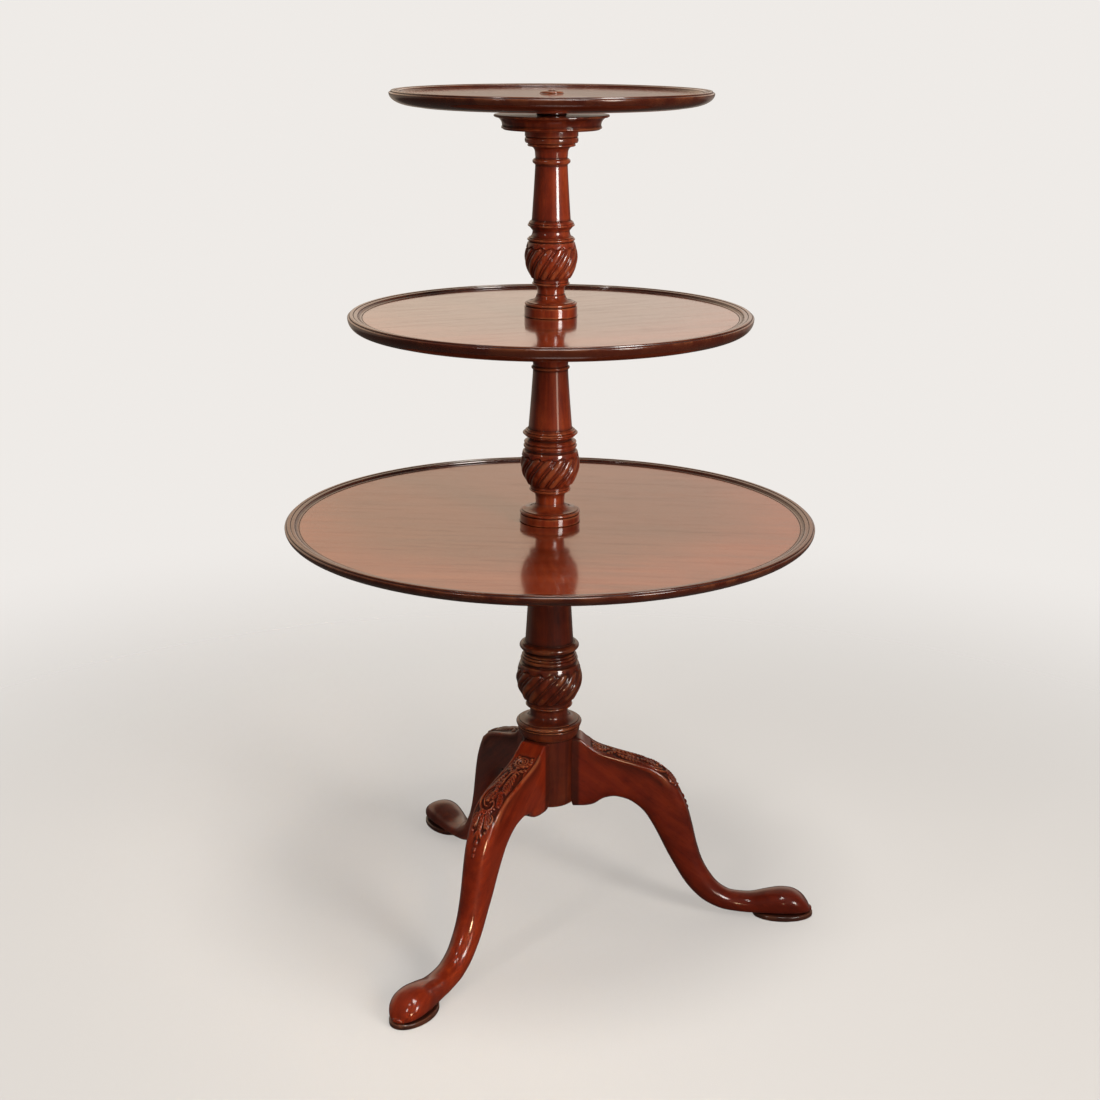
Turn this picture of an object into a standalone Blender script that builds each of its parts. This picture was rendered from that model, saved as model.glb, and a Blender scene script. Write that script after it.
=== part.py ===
"""Three-tier dumbwaiter: round dished trays that turn on a turned column over three cabriole legs.

Metres, +Z up. The origin is on the floor, in the middle of the bounding box. The column's axis stands
AXIS_X from it, because one foot points along +X and reaches further out than the lower tray.
"""

import math

import bmesh
import bpy
from mathutils import Matrix, Vector

# Driving dimensions
LOWER_TRAY_RADIUS = 0.320
MIDDLE_TRAY_RADIUS = 0.239
TOP_TRAY_RADIUS = 0.186
LOWER_TIER_RISE = 0.282
MIDDLE_TIER_RISE = 0.250
TOP_TIER_RISE = 0.255
FOOT_REACH = 0.3415
HUB_RADIUS = 0.0335
HUB_HEIGHT = 0.086
HUB_HEAD_HEIGHT = 0.248
LEG_AZIMUTHS_DEG = {"right": 0, "rear": 120, "front": 240}
SCREW_AZIMUTHS_DEG = {"rear": 60, "left": 180, "front": 300}

# Clearances
SEAT_GAP = 0.0003
RUNNING_GAP = 0.0004
OVERRUN = 0.004
MERGE_DISTANCE = 0.00001

# Facets round each turned piece
COLUMN_STEPS = 24
TRAY_STEPS = 48
COLLAR_STEPS = 24
SMALL_STEPS = 20
SCREW_STEPS = 12

# Trays: every tier has the same edge
TRAY_EDGE_HEIGHT = 0.018
TRAY_DISH_DEPTH = 0.004
RIM_WIDTH = 0.0175
RIM_BAND_START = 0.0122
RIM_BAND_END = 0.0088
RIM_BAND_DROP = 0.0015
RIM_BAND_RISE = 0.0003
CREST_START = 0.0070
LIP_INSET = 0.0026
LIP_ROUND = 0.0006
LIP_HEIGHT = 0.0021
BULGE_DROP = 0.0034
OVOLO_REACH = 0.030
FOOT_SEAT_DEPTH = 0.0004
FOOT_SEAT_MARGIN = 0.0008

# Spigots, collars, washers and the cap on the top tray
SPIGOT_RADIUS = 0.011
SOCKET_DEPTH = 0.016
LOWER_COLLAR_RADIUS = 0.080
MIDDLE_COLLAR_RADIUS = 0.070
TOP_COLLAR_RADIUS = 0.0665
COLLAR_HEIGHT = 0.017
COLLAR_INSET = 0.012
COLLAR_SIDE_SHARES = ((0.0, 0.06), (0.24, 0.28), (0.52, 0.52), (0.80, 0.76), (1.0, 1.0))
BOSS_RADIUS = 0.017
BOSS_HEIGHT = 0.0075
WASHER_RADIUS = 0.0195
WASHER_THICKNESS = 0.0012
CAP_RADIUS = 0.0137
CAP_HEIGHT = 0.0050
CAP_EDGE_HEIGHT = 0.0016
CAP_STEM_RADIUS = 0.0040
CAP_STEM_LENGTH = 0.012

# Legs, pads and what joins them to the hub
LEG_WIDTH = 0.036
LEG_RING_POINTS = 16
PAD_LENGTH = 0.077
PAD_WIDTH = 0.047
PAD_THICKNESS = 0.007
PAD_EDGE = 0.0012
PAD_STEPS = 24
TONGUE_DEPTH = 0.014
TONGUE_BACK_WIDTH = 0.020
TONGUE_NECK_WIDTH = 0.014
TONGUE_HEIGHT = 0.068
TONGUE_ROOT = 0.007
PLATE_INSET = 0.0025
PLATE_THICKNESS = 0.0016
SCREW_CIRCLE_RADIUS = 0.020
SCREW_RADIUS = 0.0017
SCREW_LENGTH = 0.014
SCREW_HEAD_RADIUS = 0.0036
SCREW_HEAD_HEIGHT = 0.0018

# The turned sections between foot mouldings and head; the shaft takes up what height is left
LOWER_TURNING = {
    "bell_radius": 0.0355,
    "bell_height": 0.0078,
    "neck_radius": 0.0234,
    "neck_height": 0.0042,
    "throat_height": 0.0058,
    "bead_radius": 0.0288,
    "bead_height": 0.0042,
    "knop_foot_radius": 0.0282,
    "knop_radius": 0.0412,
    "knop_head_radius": 0.0345,
    "knop_height": 0.0520,
    "ring_radius": 0.0355,
    "ring_height": 0.0118,
    "groove_radius": 0.0298,
    "groove_height": 0.0052,
    "shaft_foot_radius": 0.0298,
    "shaft_head_radius": 0.0250,
    "astragal_radius": 0.0290,
    "astragal_height": 0.0050,
    "head_neck_height": 0.0060,
    "flare_height": 0.0120,
    "capital_radius": 0.0360,
    "capital_height": 0.0120,
}
MIDDLE_TURNING = {
    "bell_radius": 0.0325,
    "bell_height": 0.0085,
    "neck_radius": 0.0175,
    "neck_height": 0.0063,
    "throat_height": 0.0075,
    "bead_radius": 0.0245,
    "bead_height": 0.0045,
    "knop_foot_radius": 0.0240,
    "knop_radius": 0.0357,
    "knop_head_radius": 0.0318,
    "knop_height": 0.0450,
    "ring_radius": 0.0321,
    "ring_height": 0.0100,
    "groove_radius": 0.0258,
    "groove_height": 0.0085,
    "shaft_foot_radius": 0.0262,
    "shaft_head_radius": 0.0207,
    "astragal_radius": 0.0228,
    "astragal_height": 0.0038,
    "head_neck_height": 0.0015,
    "flare_height": 0.0095,
    "capital_radius": 0.0320,
    "capital_height": 0.0080,
}
UPPER_TURNING = {
    "bell_radius": 0.0272,
    "bell_height": 0.0085,
    "neck_radius": 0.0163,
    "neck_height": 0.0060,
    "throat_height": 0.0055,
    "bead_radius": 0.0221,
    "bead_height": 0.0040,
    "knop_foot_radius": 0.0208,
    "knop_radius": 0.0312,
    "knop_head_radius": 0.0262,
    "knop_height": 0.0455,
    "ring_radius": 0.0274,
    "ring_height": 0.0086,
    "groove_radius": 0.0220,
    "groove_height": 0.0088,
    "shaft_foot_radius": 0.0227,
    "shaft_head_radius": 0.0190,
    "astragal_radius": 0.0218,
    "astragal_height": 0.0045,
    "head_neck_height": 0.0070,
    "flare_height": 0.0105,
    "capital_radius": 0.0306,
    "capital_height": 0.0150,
}
KNOP_PEAK_SHARE = 0.61
KNOP_POINTS = 8

# Foot mouldings: a drum and a ring under the two upper sections, a skirt and a torus over the hub
MIDDLE_DRUM = {"radius": 0.0363, "height": 0.0100, "ring_radius": 0.0356, "ring_height": 0.0048}
UPPER_DRUM = {"radius": 0.0312, "height": 0.0115, "ring_radius": 0.0301, "ring_height": 0.0048}
HUB_FOOT = {"skirt_radius": 0.0392, "skirt_height": 0.0138, "torus_radius": 0.0410, "torus_height": 0.0072}

# A leg's outline as seen from its side, from the hub to the tip of the foot. Each station pairs a
# point of the upper edge with one of the lower edge: how far each is from the hub, as a share of the
# way to the foot's tip, and how high, as a share of the leg's height over its pad. Then come the
# width there, as a share of LEG_WIDTH, and how square the section is (2 is an ellipse).
LEG_STATION_SHARES = (
    (0.044, 1.000, 0.037, 0.612, 1.00, 9.0),
    (0.065, 0.962, 0.080, 0.625, 1.00, 9.0),
    (0.106, 0.924, 0.119, 0.658, 1.00, 9.0),
    (0.170, 0.893, 0.161, 0.668, 1.00, 9.0),
    (0.252, 0.864, 0.209, 0.654, 1.00, 8.0),
    (0.326, 0.832, 0.250, 0.623, 1.00, 7.0),
    (0.388, 0.781, 0.287, 0.575, 1.00, 6.0),
    (0.433, 0.706, 0.320, 0.507, 0.99, 5.0),
    (0.465, 0.606, 0.352, 0.427, 0.96, 4.0),
    (0.487, 0.500, 0.383, 0.343, 0.94, 3.2),
    (0.506, 0.394, 0.417, 0.263, 0.92, 2.6),
    (0.529, 0.298, 0.452, 0.183, 0.91, 2.3),
    (0.563, 0.215, 0.498, 0.107, 0.90, 2.2),
    (0.609, 0.144, 0.557, 0.047, 0.89, 2.2),
    (0.664, 0.104, 0.631, 0.011, 0.90, 2.3),
    (0.735, 0.094, 0.729, 0.000, 0.96, 2.5),
    (0.807, 0.110, 0.807, 0.000, 1.11, 2.6),
    (0.875, 0.119, 0.875, 0.000, 1.24, 2.6),
    (0.924, 0.109, 0.930, 0.000, 1.21, 2.6),
    (0.963, 0.076, 0.972, 0.000, 1.00, 2.5),
    (0.985, 0.032, 0.990, 0.000, 0.60, 2.4),
)
LEG_ROOT_SHARE = 0.78

# Places worked out from the sizes above
HUB_FOOT_HEIGHT = HUB_HEAD_HEIGHT - HUB_HEIGHT
LOWER_RIM_HEIGHT = HUB_HEAD_HEIGHT + LOWER_TIER_RISE
MIDDLE_RIM_HEIGHT = LOWER_RIM_HEIGHT + MIDDLE_TIER_RISE
TOP_RIM_HEIGHT = MIDDLE_RIM_HEIGHT + TOP_TIER_RISE
AXIS_X = (LOWER_TRAY_RADIUS - FOOT_REACH) / 2
PAD_TOP = PAD_THICKNESS + SEAT_GAP
LEG_TOP = HUB_HEAD_HEIGHT - SEAT_GAP
PAD_CENTRE = FOOT_REACH - PAD_LENGTH / 2
BEARING_HEIGHT = COLLAR_HEIGHT + BOSS_HEIGHT + WASHER_THICKNESS + 3 * SEAT_GAP

# Each tier: its rim's height, its tray, the collar under that, and what stands over the tray's middle
TIERS = {
    "lower": {
        "rim": LOWER_RIM_HEIGHT,
        "radius": LOWER_TRAY_RADIUS,
        "collar": LOWER_COLLAR_RADIUS,
        "foot": MIDDLE_DRUM["radius"],
    },
    "middle": {
        "rim": MIDDLE_RIM_HEIGHT,
        "radius": MIDDLE_TRAY_RADIUS,
        "collar": MIDDLE_COLLAR_RADIUS,
        "foot": UPPER_DRUM["radius"],
    },
    "top": {
        "rim": TOP_RIM_HEIGHT,
        "radius": TOP_TRAY_RADIUS,
        "collar": TOP_COLLAR_RADIUS,
        "foot": CAP_RADIUS,
    },
}


def tray_floor(tier):
    return TIERS[tier]["rim"] - TRAY_DISH_DEPTH


def tray_underside(tier):
    return TIERS[tier]["rim"] - TRAY_EDGE_HEIGHT


def column_head(tier):
    """Height of the column's shoulder that carries the collar under a tray."""
    return tray_underside(tier) - BEARING_HEIGHT


def make_collection(name):
    collection = bpy.data.collections.new(name)
    bpy.context.scene.collection.children.link(collection)
    return collection


def make_material(name, color, roughness, metallic=0.0):
    material = bpy.data.materials.new(name)
    material.use_nodes = True
    shader = material.node_tree.nodes["Principled BSDF"]
    shader.inputs["Base Color"].default_value = (*color, 1)
    shader.inputs["Roughness"].default_value = roughness
    shader.inputs["Metallic"].default_value = metallic
    return material


def add_object(name, mesh, collection, parent, material=None, height=0.0, azimuth_deg=0.0, out=0.0):
    """Place a mesh at a height, turned about the column's axis and a distance out from it."""
    azimuth = math.radians(azimuth_deg)
    piece = bpy.data.objects.new(name, mesh)
    collection.objects.link(piece)
    piece.parent = parent
    piece.location = (out * math.cos(azimuth), out * math.sin(azimuth), height)
    piece.rotation_euler = (0, 0, azimuth)
    if material:
        piece.data.materials.append(material)
    return piece


def hide_cutter(cutter):
    cutter.hide_render = True
    cutter.display_type = "WIRE"
    return cutter


def add_boolean(piece, other, operation):
    boolean = piece.modifiers.new(operation.title(), "BOOLEAN")
    boolean.operation = operation
    boolean.object = other
    return boolean


def turned(name, outline, steps, collection, parent, material=None, closed=False, **place):
    """A turned piece: an outline of (radius, height) points, run down the outer side, spun about Z."""
    edges = [(index, index + 1) for index in range(len(outline) - 1)]
    if closed:
        edges.append((len(outline) - 1, 0))
    mesh = bpy.data.meshes.new(name)
    mesh.from_pydata([(radius, 0, level) for radius, level in outline], edges, [])
    piece = add_object(name, mesh, collection, parent, material, **place)
    screw = piece.modifiers.new("Turn", "SCREW")
    screw.axis = "Z"
    screw.steps = steps
    screw.render_steps = steps
    screw.use_merge_vertices = True
    screw.merge_threshold = MERGE_DISTANCE
    screw.use_smooth_shade = True
    return piece


def quarter(start, end, count, leaves_flat):
    """Quarter of an ellipse between two (radius, height) points, without its first point."""
    points = []
    for index in range(1, count + 1):
        angle = math.pi / 2 * index / count
        slow = 1 - math.cos(angle)
        fast = math.sin(angle)
        along_radius, along_height = (fast, slow) if leaves_flat else (slow, fast)
        points.append((
            start[0] + (end[0] - start[0]) * along_radius,
            start[1] + (end[1] - start[1]) * along_height,
        ))
    return points


def bead(edge_radius, peak_radius, top, foot, count):
    """Half-round moulding from its top edge to its foot edge, both at edge_radius."""
    middle = (top + foot) / 2
    half = (top - foot) / 2
    points = []
    for index in range(count + 1):
        angle = math.pi * index / count
        radius = edge_radius + (peak_radius - edge_radius) * math.sin(angle)
        points.append((radius, middle + half * math.cos(angle)))
    return points


def knop(size, foot):
    """Pear-shaped knop, fullest above its middle, from its head down to its foot."""
    points = []
    for index in range(KNOP_POINTS + 1):
        share = 1 - index / KNOP_POINTS
        if share > KNOP_PEAK_SHARE:
            swell = math.cos(math.pi / 2 * (share - KNOP_PEAK_SHARE) / (1 - KNOP_PEAK_SHARE))
            end_radius = size["knop_head_radius"]
        else:
            swell = math.sin(math.pi / 2 * share / KNOP_PEAK_SHARE)
            end_radius = size["knop_foot_radius"]
        radius = end_radius + (size["knop_radius"] - end_radius) * swell
        points.append((radius, foot + size["knop_height"] * share))
    return points


def turning_outline(size, foot, head):
    """A column section from its head down to the top of its foot mouldings."""
    capital_foot = head - size["capital_height"]
    flare_foot = capital_foot - size["flare_height"]
    astragal_top = flare_foot - size["head_neck_height"]
    astragal_foot = astragal_top - size["astragal_height"]
    neck_foot = foot + size["bell_height"]
    throat_foot = neck_foot + size["neck_height"]
    bead_foot = throat_foot + size["throat_height"]
    knop_foot = bead_foot + size["bead_height"]
    low_ring_foot = knop_foot + size["knop_height"]
    groove_foot = low_ring_foot + size["ring_height"]
    high_ring_foot = groove_foot + size["groove_height"]
    shaft_foot = high_ring_foot + size["ring_height"]
    shaft_head_radius = size["shaft_head_radius"]
    outline = [(size["capital_radius"], head), (size["capital_radius"], capital_foot)]
    outline += quarter(outline[-1], (shaft_head_radius, flare_foot), 3, True)
    outline += bead(shaft_head_radius, size["astragal_radius"], astragal_top, astragal_foot, 4)
    outline += bead(size["shaft_foot_radius"], size["ring_radius"], shaft_foot, high_ring_foot, 4)
    outline += bead(size["groove_radius"], size["ring_radius"], groove_foot, low_ring_foot, 4)
    outline += knop(size, knop_foot)
    outline += bead(size["knop_foot_radius"], size["bead_radius"], knop_foot, bead_foot, 4)[1:]
    outline += quarter(outline[-1], (size["neck_radius"], throat_foot), 3, True)
    outline += [(size["neck_radius"], neck_foot)]
    outline += quarter(outline[-1], (size["bell_radius"], foot), 3, False)
    return outline


def drum_outline(drum, foot):
    """The ring and the plain drum that a section stands on, from the ring down to the drum's foot."""
    ring_foot = foot + drum["height"]
    ring_top = ring_foot + drum["ring_height"]
    edge_radius = drum["ring_radius"] - drum["ring_height"] / 2
    outline = bead(edge_radius, drum["ring_radius"], ring_top, ring_foot, 4)
    return outline + [(drum["radius"], ring_foot), (drum["radius"], foot)]


def hub_outline():
    """The torus and the skirt over the hub, and the hub that the legs are let into."""
    skirt_top = HUB_HEAD_HEIGHT + HUB_FOOT["skirt_height"]
    torus_top = skirt_top + HUB_FOOT["torus_height"]
    edge_radius = HUB_FOOT["torus_radius"] - HUB_FOOT["torus_height"] / 2
    outline = bead(edge_radius, HUB_FOOT["torus_radius"], torus_top, skirt_top, 4)
    outline += [(HUB_FOOT["skirt_radius"], skirt_top)]
    outline += quarter(outline[-1], (HUB_RADIUS, HUB_HEAD_HEIGHT), 3, False)
    return outline + [(HUB_RADIUS, HUB_FOOT_HEIGHT), (0, HUB_FOOT_HEIGHT)]


def hub_moulding_height():
    return HUB_FOOT["skirt_height"] + HUB_FOOT["torus_height"]


def socket_outline(foot):
    """The blind socket in a section's foot, from its mouth up to its end on the axis."""
    radius = SPIGOT_RADIUS + RUNNING_GAP
    return [(radius, foot), (radius, foot + SOCKET_DEPTH), (0, foot + SOCKET_DEPTH)]


def spigot_outline(top, head):
    """The spigot on a section's head, which passes through collar, washer and tray."""
    return [(0, top), (SPIGOT_RADIUS, top), (SPIGOT_RADIUS, head)]


def make_columns(parts, axis, material):
    """The three turned sections; each stands on the spigot of the one below."""
    middle_foot = tray_floor("lower") + SEAT_GAP
    upper_foot = tray_floor("middle") + SEAT_GAP
    hub_top = HUB_HEAD_HEIGHT + hub_moulding_height()
    lower = spigot_outline(middle_foot + SOCKET_DEPTH - SEAT_GAP, column_head("lower"))
    lower += turning_outline(LOWER_TURNING, hub_top, column_head("lower"))
    lower += hub_outline()
    middle_top = middle_foot + MIDDLE_DRUM["height"] + MIDDLE_DRUM["ring_height"]
    middle = spigot_outline(upper_foot + SOCKET_DEPTH - SEAT_GAP, column_head("middle"))
    middle += turning_outline(MIDDLE_TURNING, middle_top, column_head("middle"))
    middle += drum_outline(MIDDLE_DRUM, middle_foot) + socket_outline(middle_foot)
    upper_top = upper_foot + UPPER_DRUM["height"] + UPPER_DRUM["ring_height"]
    spigot_top = tray_floor("top") - SEAT_GAP
    stem_radius = CAP_STEM_RADIUS + SEAT_GAP
    stem_foot = spigot_top - CAP_STEM_LENGTH - SEAT_GAP
    upper = [(0, stem_foot), (stem_radius, stem_foot), (stem_radius, spigot_top)]
    upper += spigot_outline(spigot_top, column_head("top"))[1:]
    upper += turning_outline(UPPER_TURNING, upper_top, column_head("top"))
    upper += drum_outline(UPPER_DRUM, upper_foot) + socket_outline(upper_foot)
    turned("middle_column", middle, COLUMN_STEPS, parts, axis, material)
    turned("upper_column", upper, COLUMN_STEPS, parts, axis, material)
    return turned("lower_column", lower, COLUMN_STEPS, parts, axis, material)


def tray_outline(radius, foot_radius):
    """A dished tray with its floor at height 0: sunk seat, stepped rim, lip and deep ovolo edge."""
    crest = TRAY_DISH_DEPTH
    underside = crest - TRAY_EDGE_HEIGHT
    bore = SPIGOT_RADIUS + RUNNING_GAP
    rim_foot = radius - RIM_WIDTH
    band = crest - RIM_BAND_DROP
    seat = foot_radius + FOOT_SEAT_MARGIN
    outline = [(bore, -FOOT_SEAT_DEPTH), (seat, -FOOT_SEAT_DEPTH), (seat, 0), (rim_foot, 0)]
    outline += quarter(outline[-1], (radius - RIM_BAND_START, band), 2, True)
    outline += [(radius - RIM_BAND_END, band + RIM_BAND_RISE), (radius - CREST_START, crest)]
    outline += [(radius - LIP_INSET - LIP_ROUND, crest), (radius - LIP_INSET, crest - LIP_ROUND)]
    outline += [(radius - LIP_INSET, crest - LIP_HEIGHT)]
    outline += quarter(outline[-1], (radius, crest - BULGE_DROP), 2, True)
    outline += quarter(outline[-1], (radius - OVOLO_REACH, underside), 5, False)
    return outline + [(bore, underside)]


def make_trays(parts, axis, material):
    for tier, size in TIERS.items():
        outline = tray_outline(size["radius"], size["foot"])
        turned(tier + "_tray", outline, TRAY_STEPS, parts, axis, material, True, height=tray_floor(tier))


def collar_outline(radius):
    """A collar with its foot at height 0: a dished side and a narrow boss that the washer lies on."""
    bore = SPIGOT_RADIUS + RUNNING_GAP
    boss_top = COLLAR_HEIGHT + BOSS_HEIGHT
    outline = [(bore, boss_top), (BOSS_RADIUS, boss_top)]
    outline += [(BOSS_RADIUS, COLLAR_HEIGHT), (radius, COLLAR_HEIGHT)]
    for inset_share, drop_share in COLLAR_SIDE_SHARES:
        outline.append((radius - COLLAR_INSET * inset_share, COLLAR_HEIGHT * (1 - drop_share)))
    return outline + [(bore, 0)]


def make_bearings(parts, axis, wood, leather):
    """A collar on each section's head, and the washer that the tray turns on."""
    bore = SPIGOT_RADIUS + RUNNING_GAP
    washer = [(bore, WASHER_THICKNESS), (WASHER_RADIUS, WASHER_THICKNESS), (WASHER_RADIUS, 0), (bore, 0)]
    for tier, size in TIERS.items():
        collar_foot = column_head(tier) + SEAT_GAP
        outline = collar_outline(size["collar"])
        turned(tier + "_collar", outline, COLLAR_STEPS, parts, axis, wood, True, height=collar_foot)
        washer_foot = tray_underside(tier) - SEAT_GAP - WASHER_THICKNESS
        turned(tier + "_washer", washer, SMALL_STEPS, parts, axis, leather, True, height=washer_foot)


def make_cap(parts, axis, material):
    """The turned button that keeps the top tray on, with its stem in the top spigot."""
    outline = [(0, CAP_HEIGHT)]
    outline += quarter(outline[0], (CAP_RADIUS, CAP_EDGE_HEIGHT), 5, True)
    outline += [(CAP_RADIUS, 0), (CAP_STEM_RADIUS, 0)]
    outline += [(CAP_STEM_RADIUS, -CAP_STEM_LENGTH), (0, -CAP_STEM_LENGTH)]
    turned("top_cap", outline, SMALL_STEPS, parts, axis, material, height=tray_floor("top") + SEAT_GAP)


def leg_stations():
    """Upper and lower point, width and squareness of each leg section, in the leg's own X and Z."""
    reach = FOOT_REACH - HUB_RADIUS
    rise = LEG_TOP - PAD_TOP
    stations = []
    for top_out, top_up, low_out, low_up, width, squareness in LEG_STATION_SHARES:
        top = Vector((HUB_RADIUS + reach * top_out, 0, PAD_TOP + rise * top_up))
        low = Vector((HUB_RADIUS + reach * low_out, 0, PAD_TOP + rise * low_up))
        stations.append((top, low, LEG_WIDTH * width, squareness))
    top, low, width, squareness = stations[0]
    root = HUB_RADIUS * LEG_ROOT_SHARE
    stations.insert(0, (Vector((root, 0, top.z)), Vector((root, 0, low.z)), width, squareness))
    return stations


def rounded(value, squareness):
    return math.copysign(abs(value) ** (2 / squareness), value)


def leg_mesh(name):
    """Loft the leg's sections from the hub to the toe."""
    shape = bmesh.new()
    rings = []
    for top, low, width, squareness in leg_stations():
        middle = (top + low) / 2
        half_depth = (top - low) / 2
        half_width = Vector((0, width / 2, 0))
        ring = []
        for index in range(LEG_RING_POINTS):
            angle = math.tau * index / LEG_RING_POINTS
            up = rounded(math.cos(angle), squareness)
            across = rounded(math.sin(angle), squareness)
            ring.append(shape.verts.new(middle + half_depth * up + half_width * across))
        rings.append(ring)
    for near, far in zip(rings, rings[1:]):
        for index in range(LEG_RING_POINTS):
            after = (index + 1) % LEG_RING_POINTS
            shape.faces.new((near[index], near[after], far[after], far[index]))
    shape.faces.new(rings[0])
    shape.faces.new(reversed(rings[-1]))
    bmesh.ops.recalc_face_normals(shape, faces=shape.faces)
    mesh = bpy.data.meshes.new(name)
    shape.to_mesh(mesh)
    shape.free()
    mesh.shade_smooth()
    mesh.set_sharp_from_angle(angle=math.radians(40))
    return mesh


def dovetail_mesh(name, clearance, foot, top, front):
    """A prism that widens towards the column's axis: a leg's tongue, or the slot it slides into."""
    back = HUB_RADIUS - TONGUE_DEPTH - clearance
    shape = bmesh.new()
    bmesh.ops.create_cube(shape, size=1)
    spread = (TONGUE_BACK_WIDTH - TONGUE_NECK_WIDTH) / TONGUE_DEPTH
    for vert in shape.verts:
        x = front if vert.co.x > 0 else back
        width = TONGUE_NECK_WIDTH + spread * (HUB_RADIUS - x) + 2 * clearance
        vert.co = (x, math.copysign(width / 2, vert.co.y), top if vert.co.z > 0 else foot)
    mesh = bpy.data.meshes.new(name)
    shape.to_mesh(mesh)
    shape.free()
    return mesh


def make_legs(parts, cutters, axis, hub, material):
    """Cabriole legs, fitted round the hub, each with a tongue let into the hub from below."""
    clear = HUB_RADIUS + SEAT_GAP
    hub_ring = [(0, HUB_HEAD_HEIGHT + OVERRUN), (clear, HUB_HEAD_HEIGHT + OVERRUN), (clear, 0), (0, 0)]
    hub_cutter = hide_cutter(turned("hub_clearance", hub_ring, COLUMN_STEPS, cutters, axis))
    tongue_top = HUB_FOOT_HEIGHT + TONGUE_HEIGHT
    tongue_front = HUB_RADIUS + TONGUE_ROOT
    for side, azimuth in LEG_AZIMUTHS_DEG.items():
        mesh = leg_mesh("leg_" + side)
        leg = add_object("leg_" + side, mesh, parts, axis, material, azimuth_deg=azimuth)
        add_boolean(leg, hub_cutter, "DIFFERENCE")
        tongue_mesh = dovetail_mesh("tongue", 0, HUB_FOOT_HEIGHT, tongue_top, tongue_front)
        tongue = add_object("tongue_" + side, tongue_mesh, cutters, axis, azimuth_deg=azimuth)
        add_boolean(leg, hide_cutter(tongue), "UNION")
        slot_foot = HUB_FOOT_HEIGHT - OVERRUN
        slot_front = HUB_RADIUS + OVERRUN
        slot_mesh = dovetail_mesh("slot", SEAT_GAP, slot_foot, tongue_top + SEAT_GAP, slot_front)
        slot = add_object("slot_" + side, slot_mesh, cutters, axis, azimuth_deg=azimuth)
        add_boolean(hub, hide_cutter(slot), "DIFFERENCE")


def cylinder_mesh(name, radius, foot, top, steps):
    """An upright cylinder between two heights."""
    shape = bmesh.new()
    place = Matrix.Translation((0, 0, (foot + top) / 2))
    bmesh.ops.create_cone(
        shape, cap_ends=True, segments=steps, radius1=radius, radius2=radius, depth=top - foot, matrix=place
    )
    mesh = bpy.data.meshes.new(name)
    shape.to_mesh(mesh)
    shape.free()
    return mesh


def make_pads(parts, axis, material):
    """Oval pads under the feet, with a softened edge."""
    for side, azimuth in LEG_AZIMUTHS_DEG.items():
        mesh = cylinder_mesh("pad_" + side, PAD_WIDTH / 2, 0, PAD_THICKNESS, PAD_STEPS)
        stretch = Matrix.Diagonal((PAD_LENGTH / PAD_WIDTH, 1, 1, 1))
        mesh.transform(Matrix.Translation((PAD_CENTRE, 0, 0)) @ stretch)
        pad = add_object("pad_" + side, mesh, parts, axis, material, azimuth_deg=azimuth)
        bevel = pad.modifiers.new("Softened edge", "BEVEL")
        bevel.width = PAD_EDGE
        bevel.segments = 1
        bevel.limit_method = "ANGLE"


def screw_outline(head_top):
    """A round-headed screw, head down, from the tip of its shank."""
    shank_top = HUB_FOOT_HEIGHT + SCREW_LENGTH
    head_side = head_top - SCREW_HEAD_HEIGHT / 3
    outline = [(0, shank_top), (SCREW_RADIUS, shank_top), (SCREW_RADIUS, head_top)]
    outline += [(SCREW_HEAD_RADIUS, head_top), (SCREW_HEAD_RADIUS, head_side)]
    return outline + quarter(outline[-1], (0, head_top - SCREW_HEAD_HEIGHT), 3, False)


def make_hub_plate(parts, cutters, axis, hub, iron, steel):
    """The iron plate under the hub, its three screws between the legs, and their holes."""
    plate_top = HUB_FOOT_HEIGHT - SEAT_GAP
    plate_foot = plate_top - PLATE_THICKNESS
    plate_mesh = cylinder_mesh("hub_plate", HUB_RADIUS - PLATE_INSET, plate_foot, plate_top, SMALL_STEPS)
    plate = add_object("hub_plate", plate_mesh, parts, axis, iron)
    hole_radius = SCREW_RADIUS + SEAT_GAP
    hole_top = HUB_FOOT_HEIGHT + SCREW_LENGTH + SEAT_GAP
    outline = screw_outline(plate_foot - SEAT_GAP)
    for side, azimuth in SCREW_AZIMUTHS_DEG.items():
        place = {"azimuth_deg": azimuth, "out": SCREW_CIRCLE_RADIUS}
        hole_mesh = cylinder_mesh("screw_hole", hole_radius, plate_foot - OVERRUN, hole_top, SCREW_STEPS)
        hole = hide_cutter(add_object("screw_hole_" + side, hole_mesh, cutters, axis, **place))
        add_boolean(plate, hole, "DIFFERENCE")
        add_boolean(hub, hole, "DIFFERENCE")
        turned("hub_screw_" + side, outline, SCREW_STEPS, parts, axis, steel, **place)


def main():
    for old in list(bpy.data.objects):
        bpy.data.objects.remove(old)
    parts = make_collection("dumbwaiter")
    cutters = make_collection("cutters")
    axis = bpy.data.objects.new("column_axis", None)
    parts.objects.link(axis)
    axis.location = (AXIS_X, 0, 0)
    column_wood = make_material("column mahogany", (0.15, 0.030, 0.012), 0.22)
    tray_wood = make_material("tray mahogany", (0.20, 0.055, 0.025), 0.15)
    leg_wood = make_material("leg mahogany", (0.20, 0.045, 0.015), 0.25)
    leather = make_material("washer leather", (0.06, 0.03, 0.02), 0.8)
    iron = make_material("plate iron", (0.05, 0.045, 0.04), 0.6, 1.0)
    steel = make_material("screw steel", (0.25, 0.24, 0.22), 0.45, 1.0)
    hub = make_columns(parts, axis, column_wood)
    make_trays(parts, axis, tray_wood)
    make_bearings(parts, axis, column_wood, leather)
    make_cap(parts, axis, column_wood)
    make_legs(parts, cutters, axis, hub, leg_wood)
    make_pads(parts, axis, leg_wood)
    make_hub_plate(parts, cutters, axis, hub, iron, steel)


main()
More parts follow.
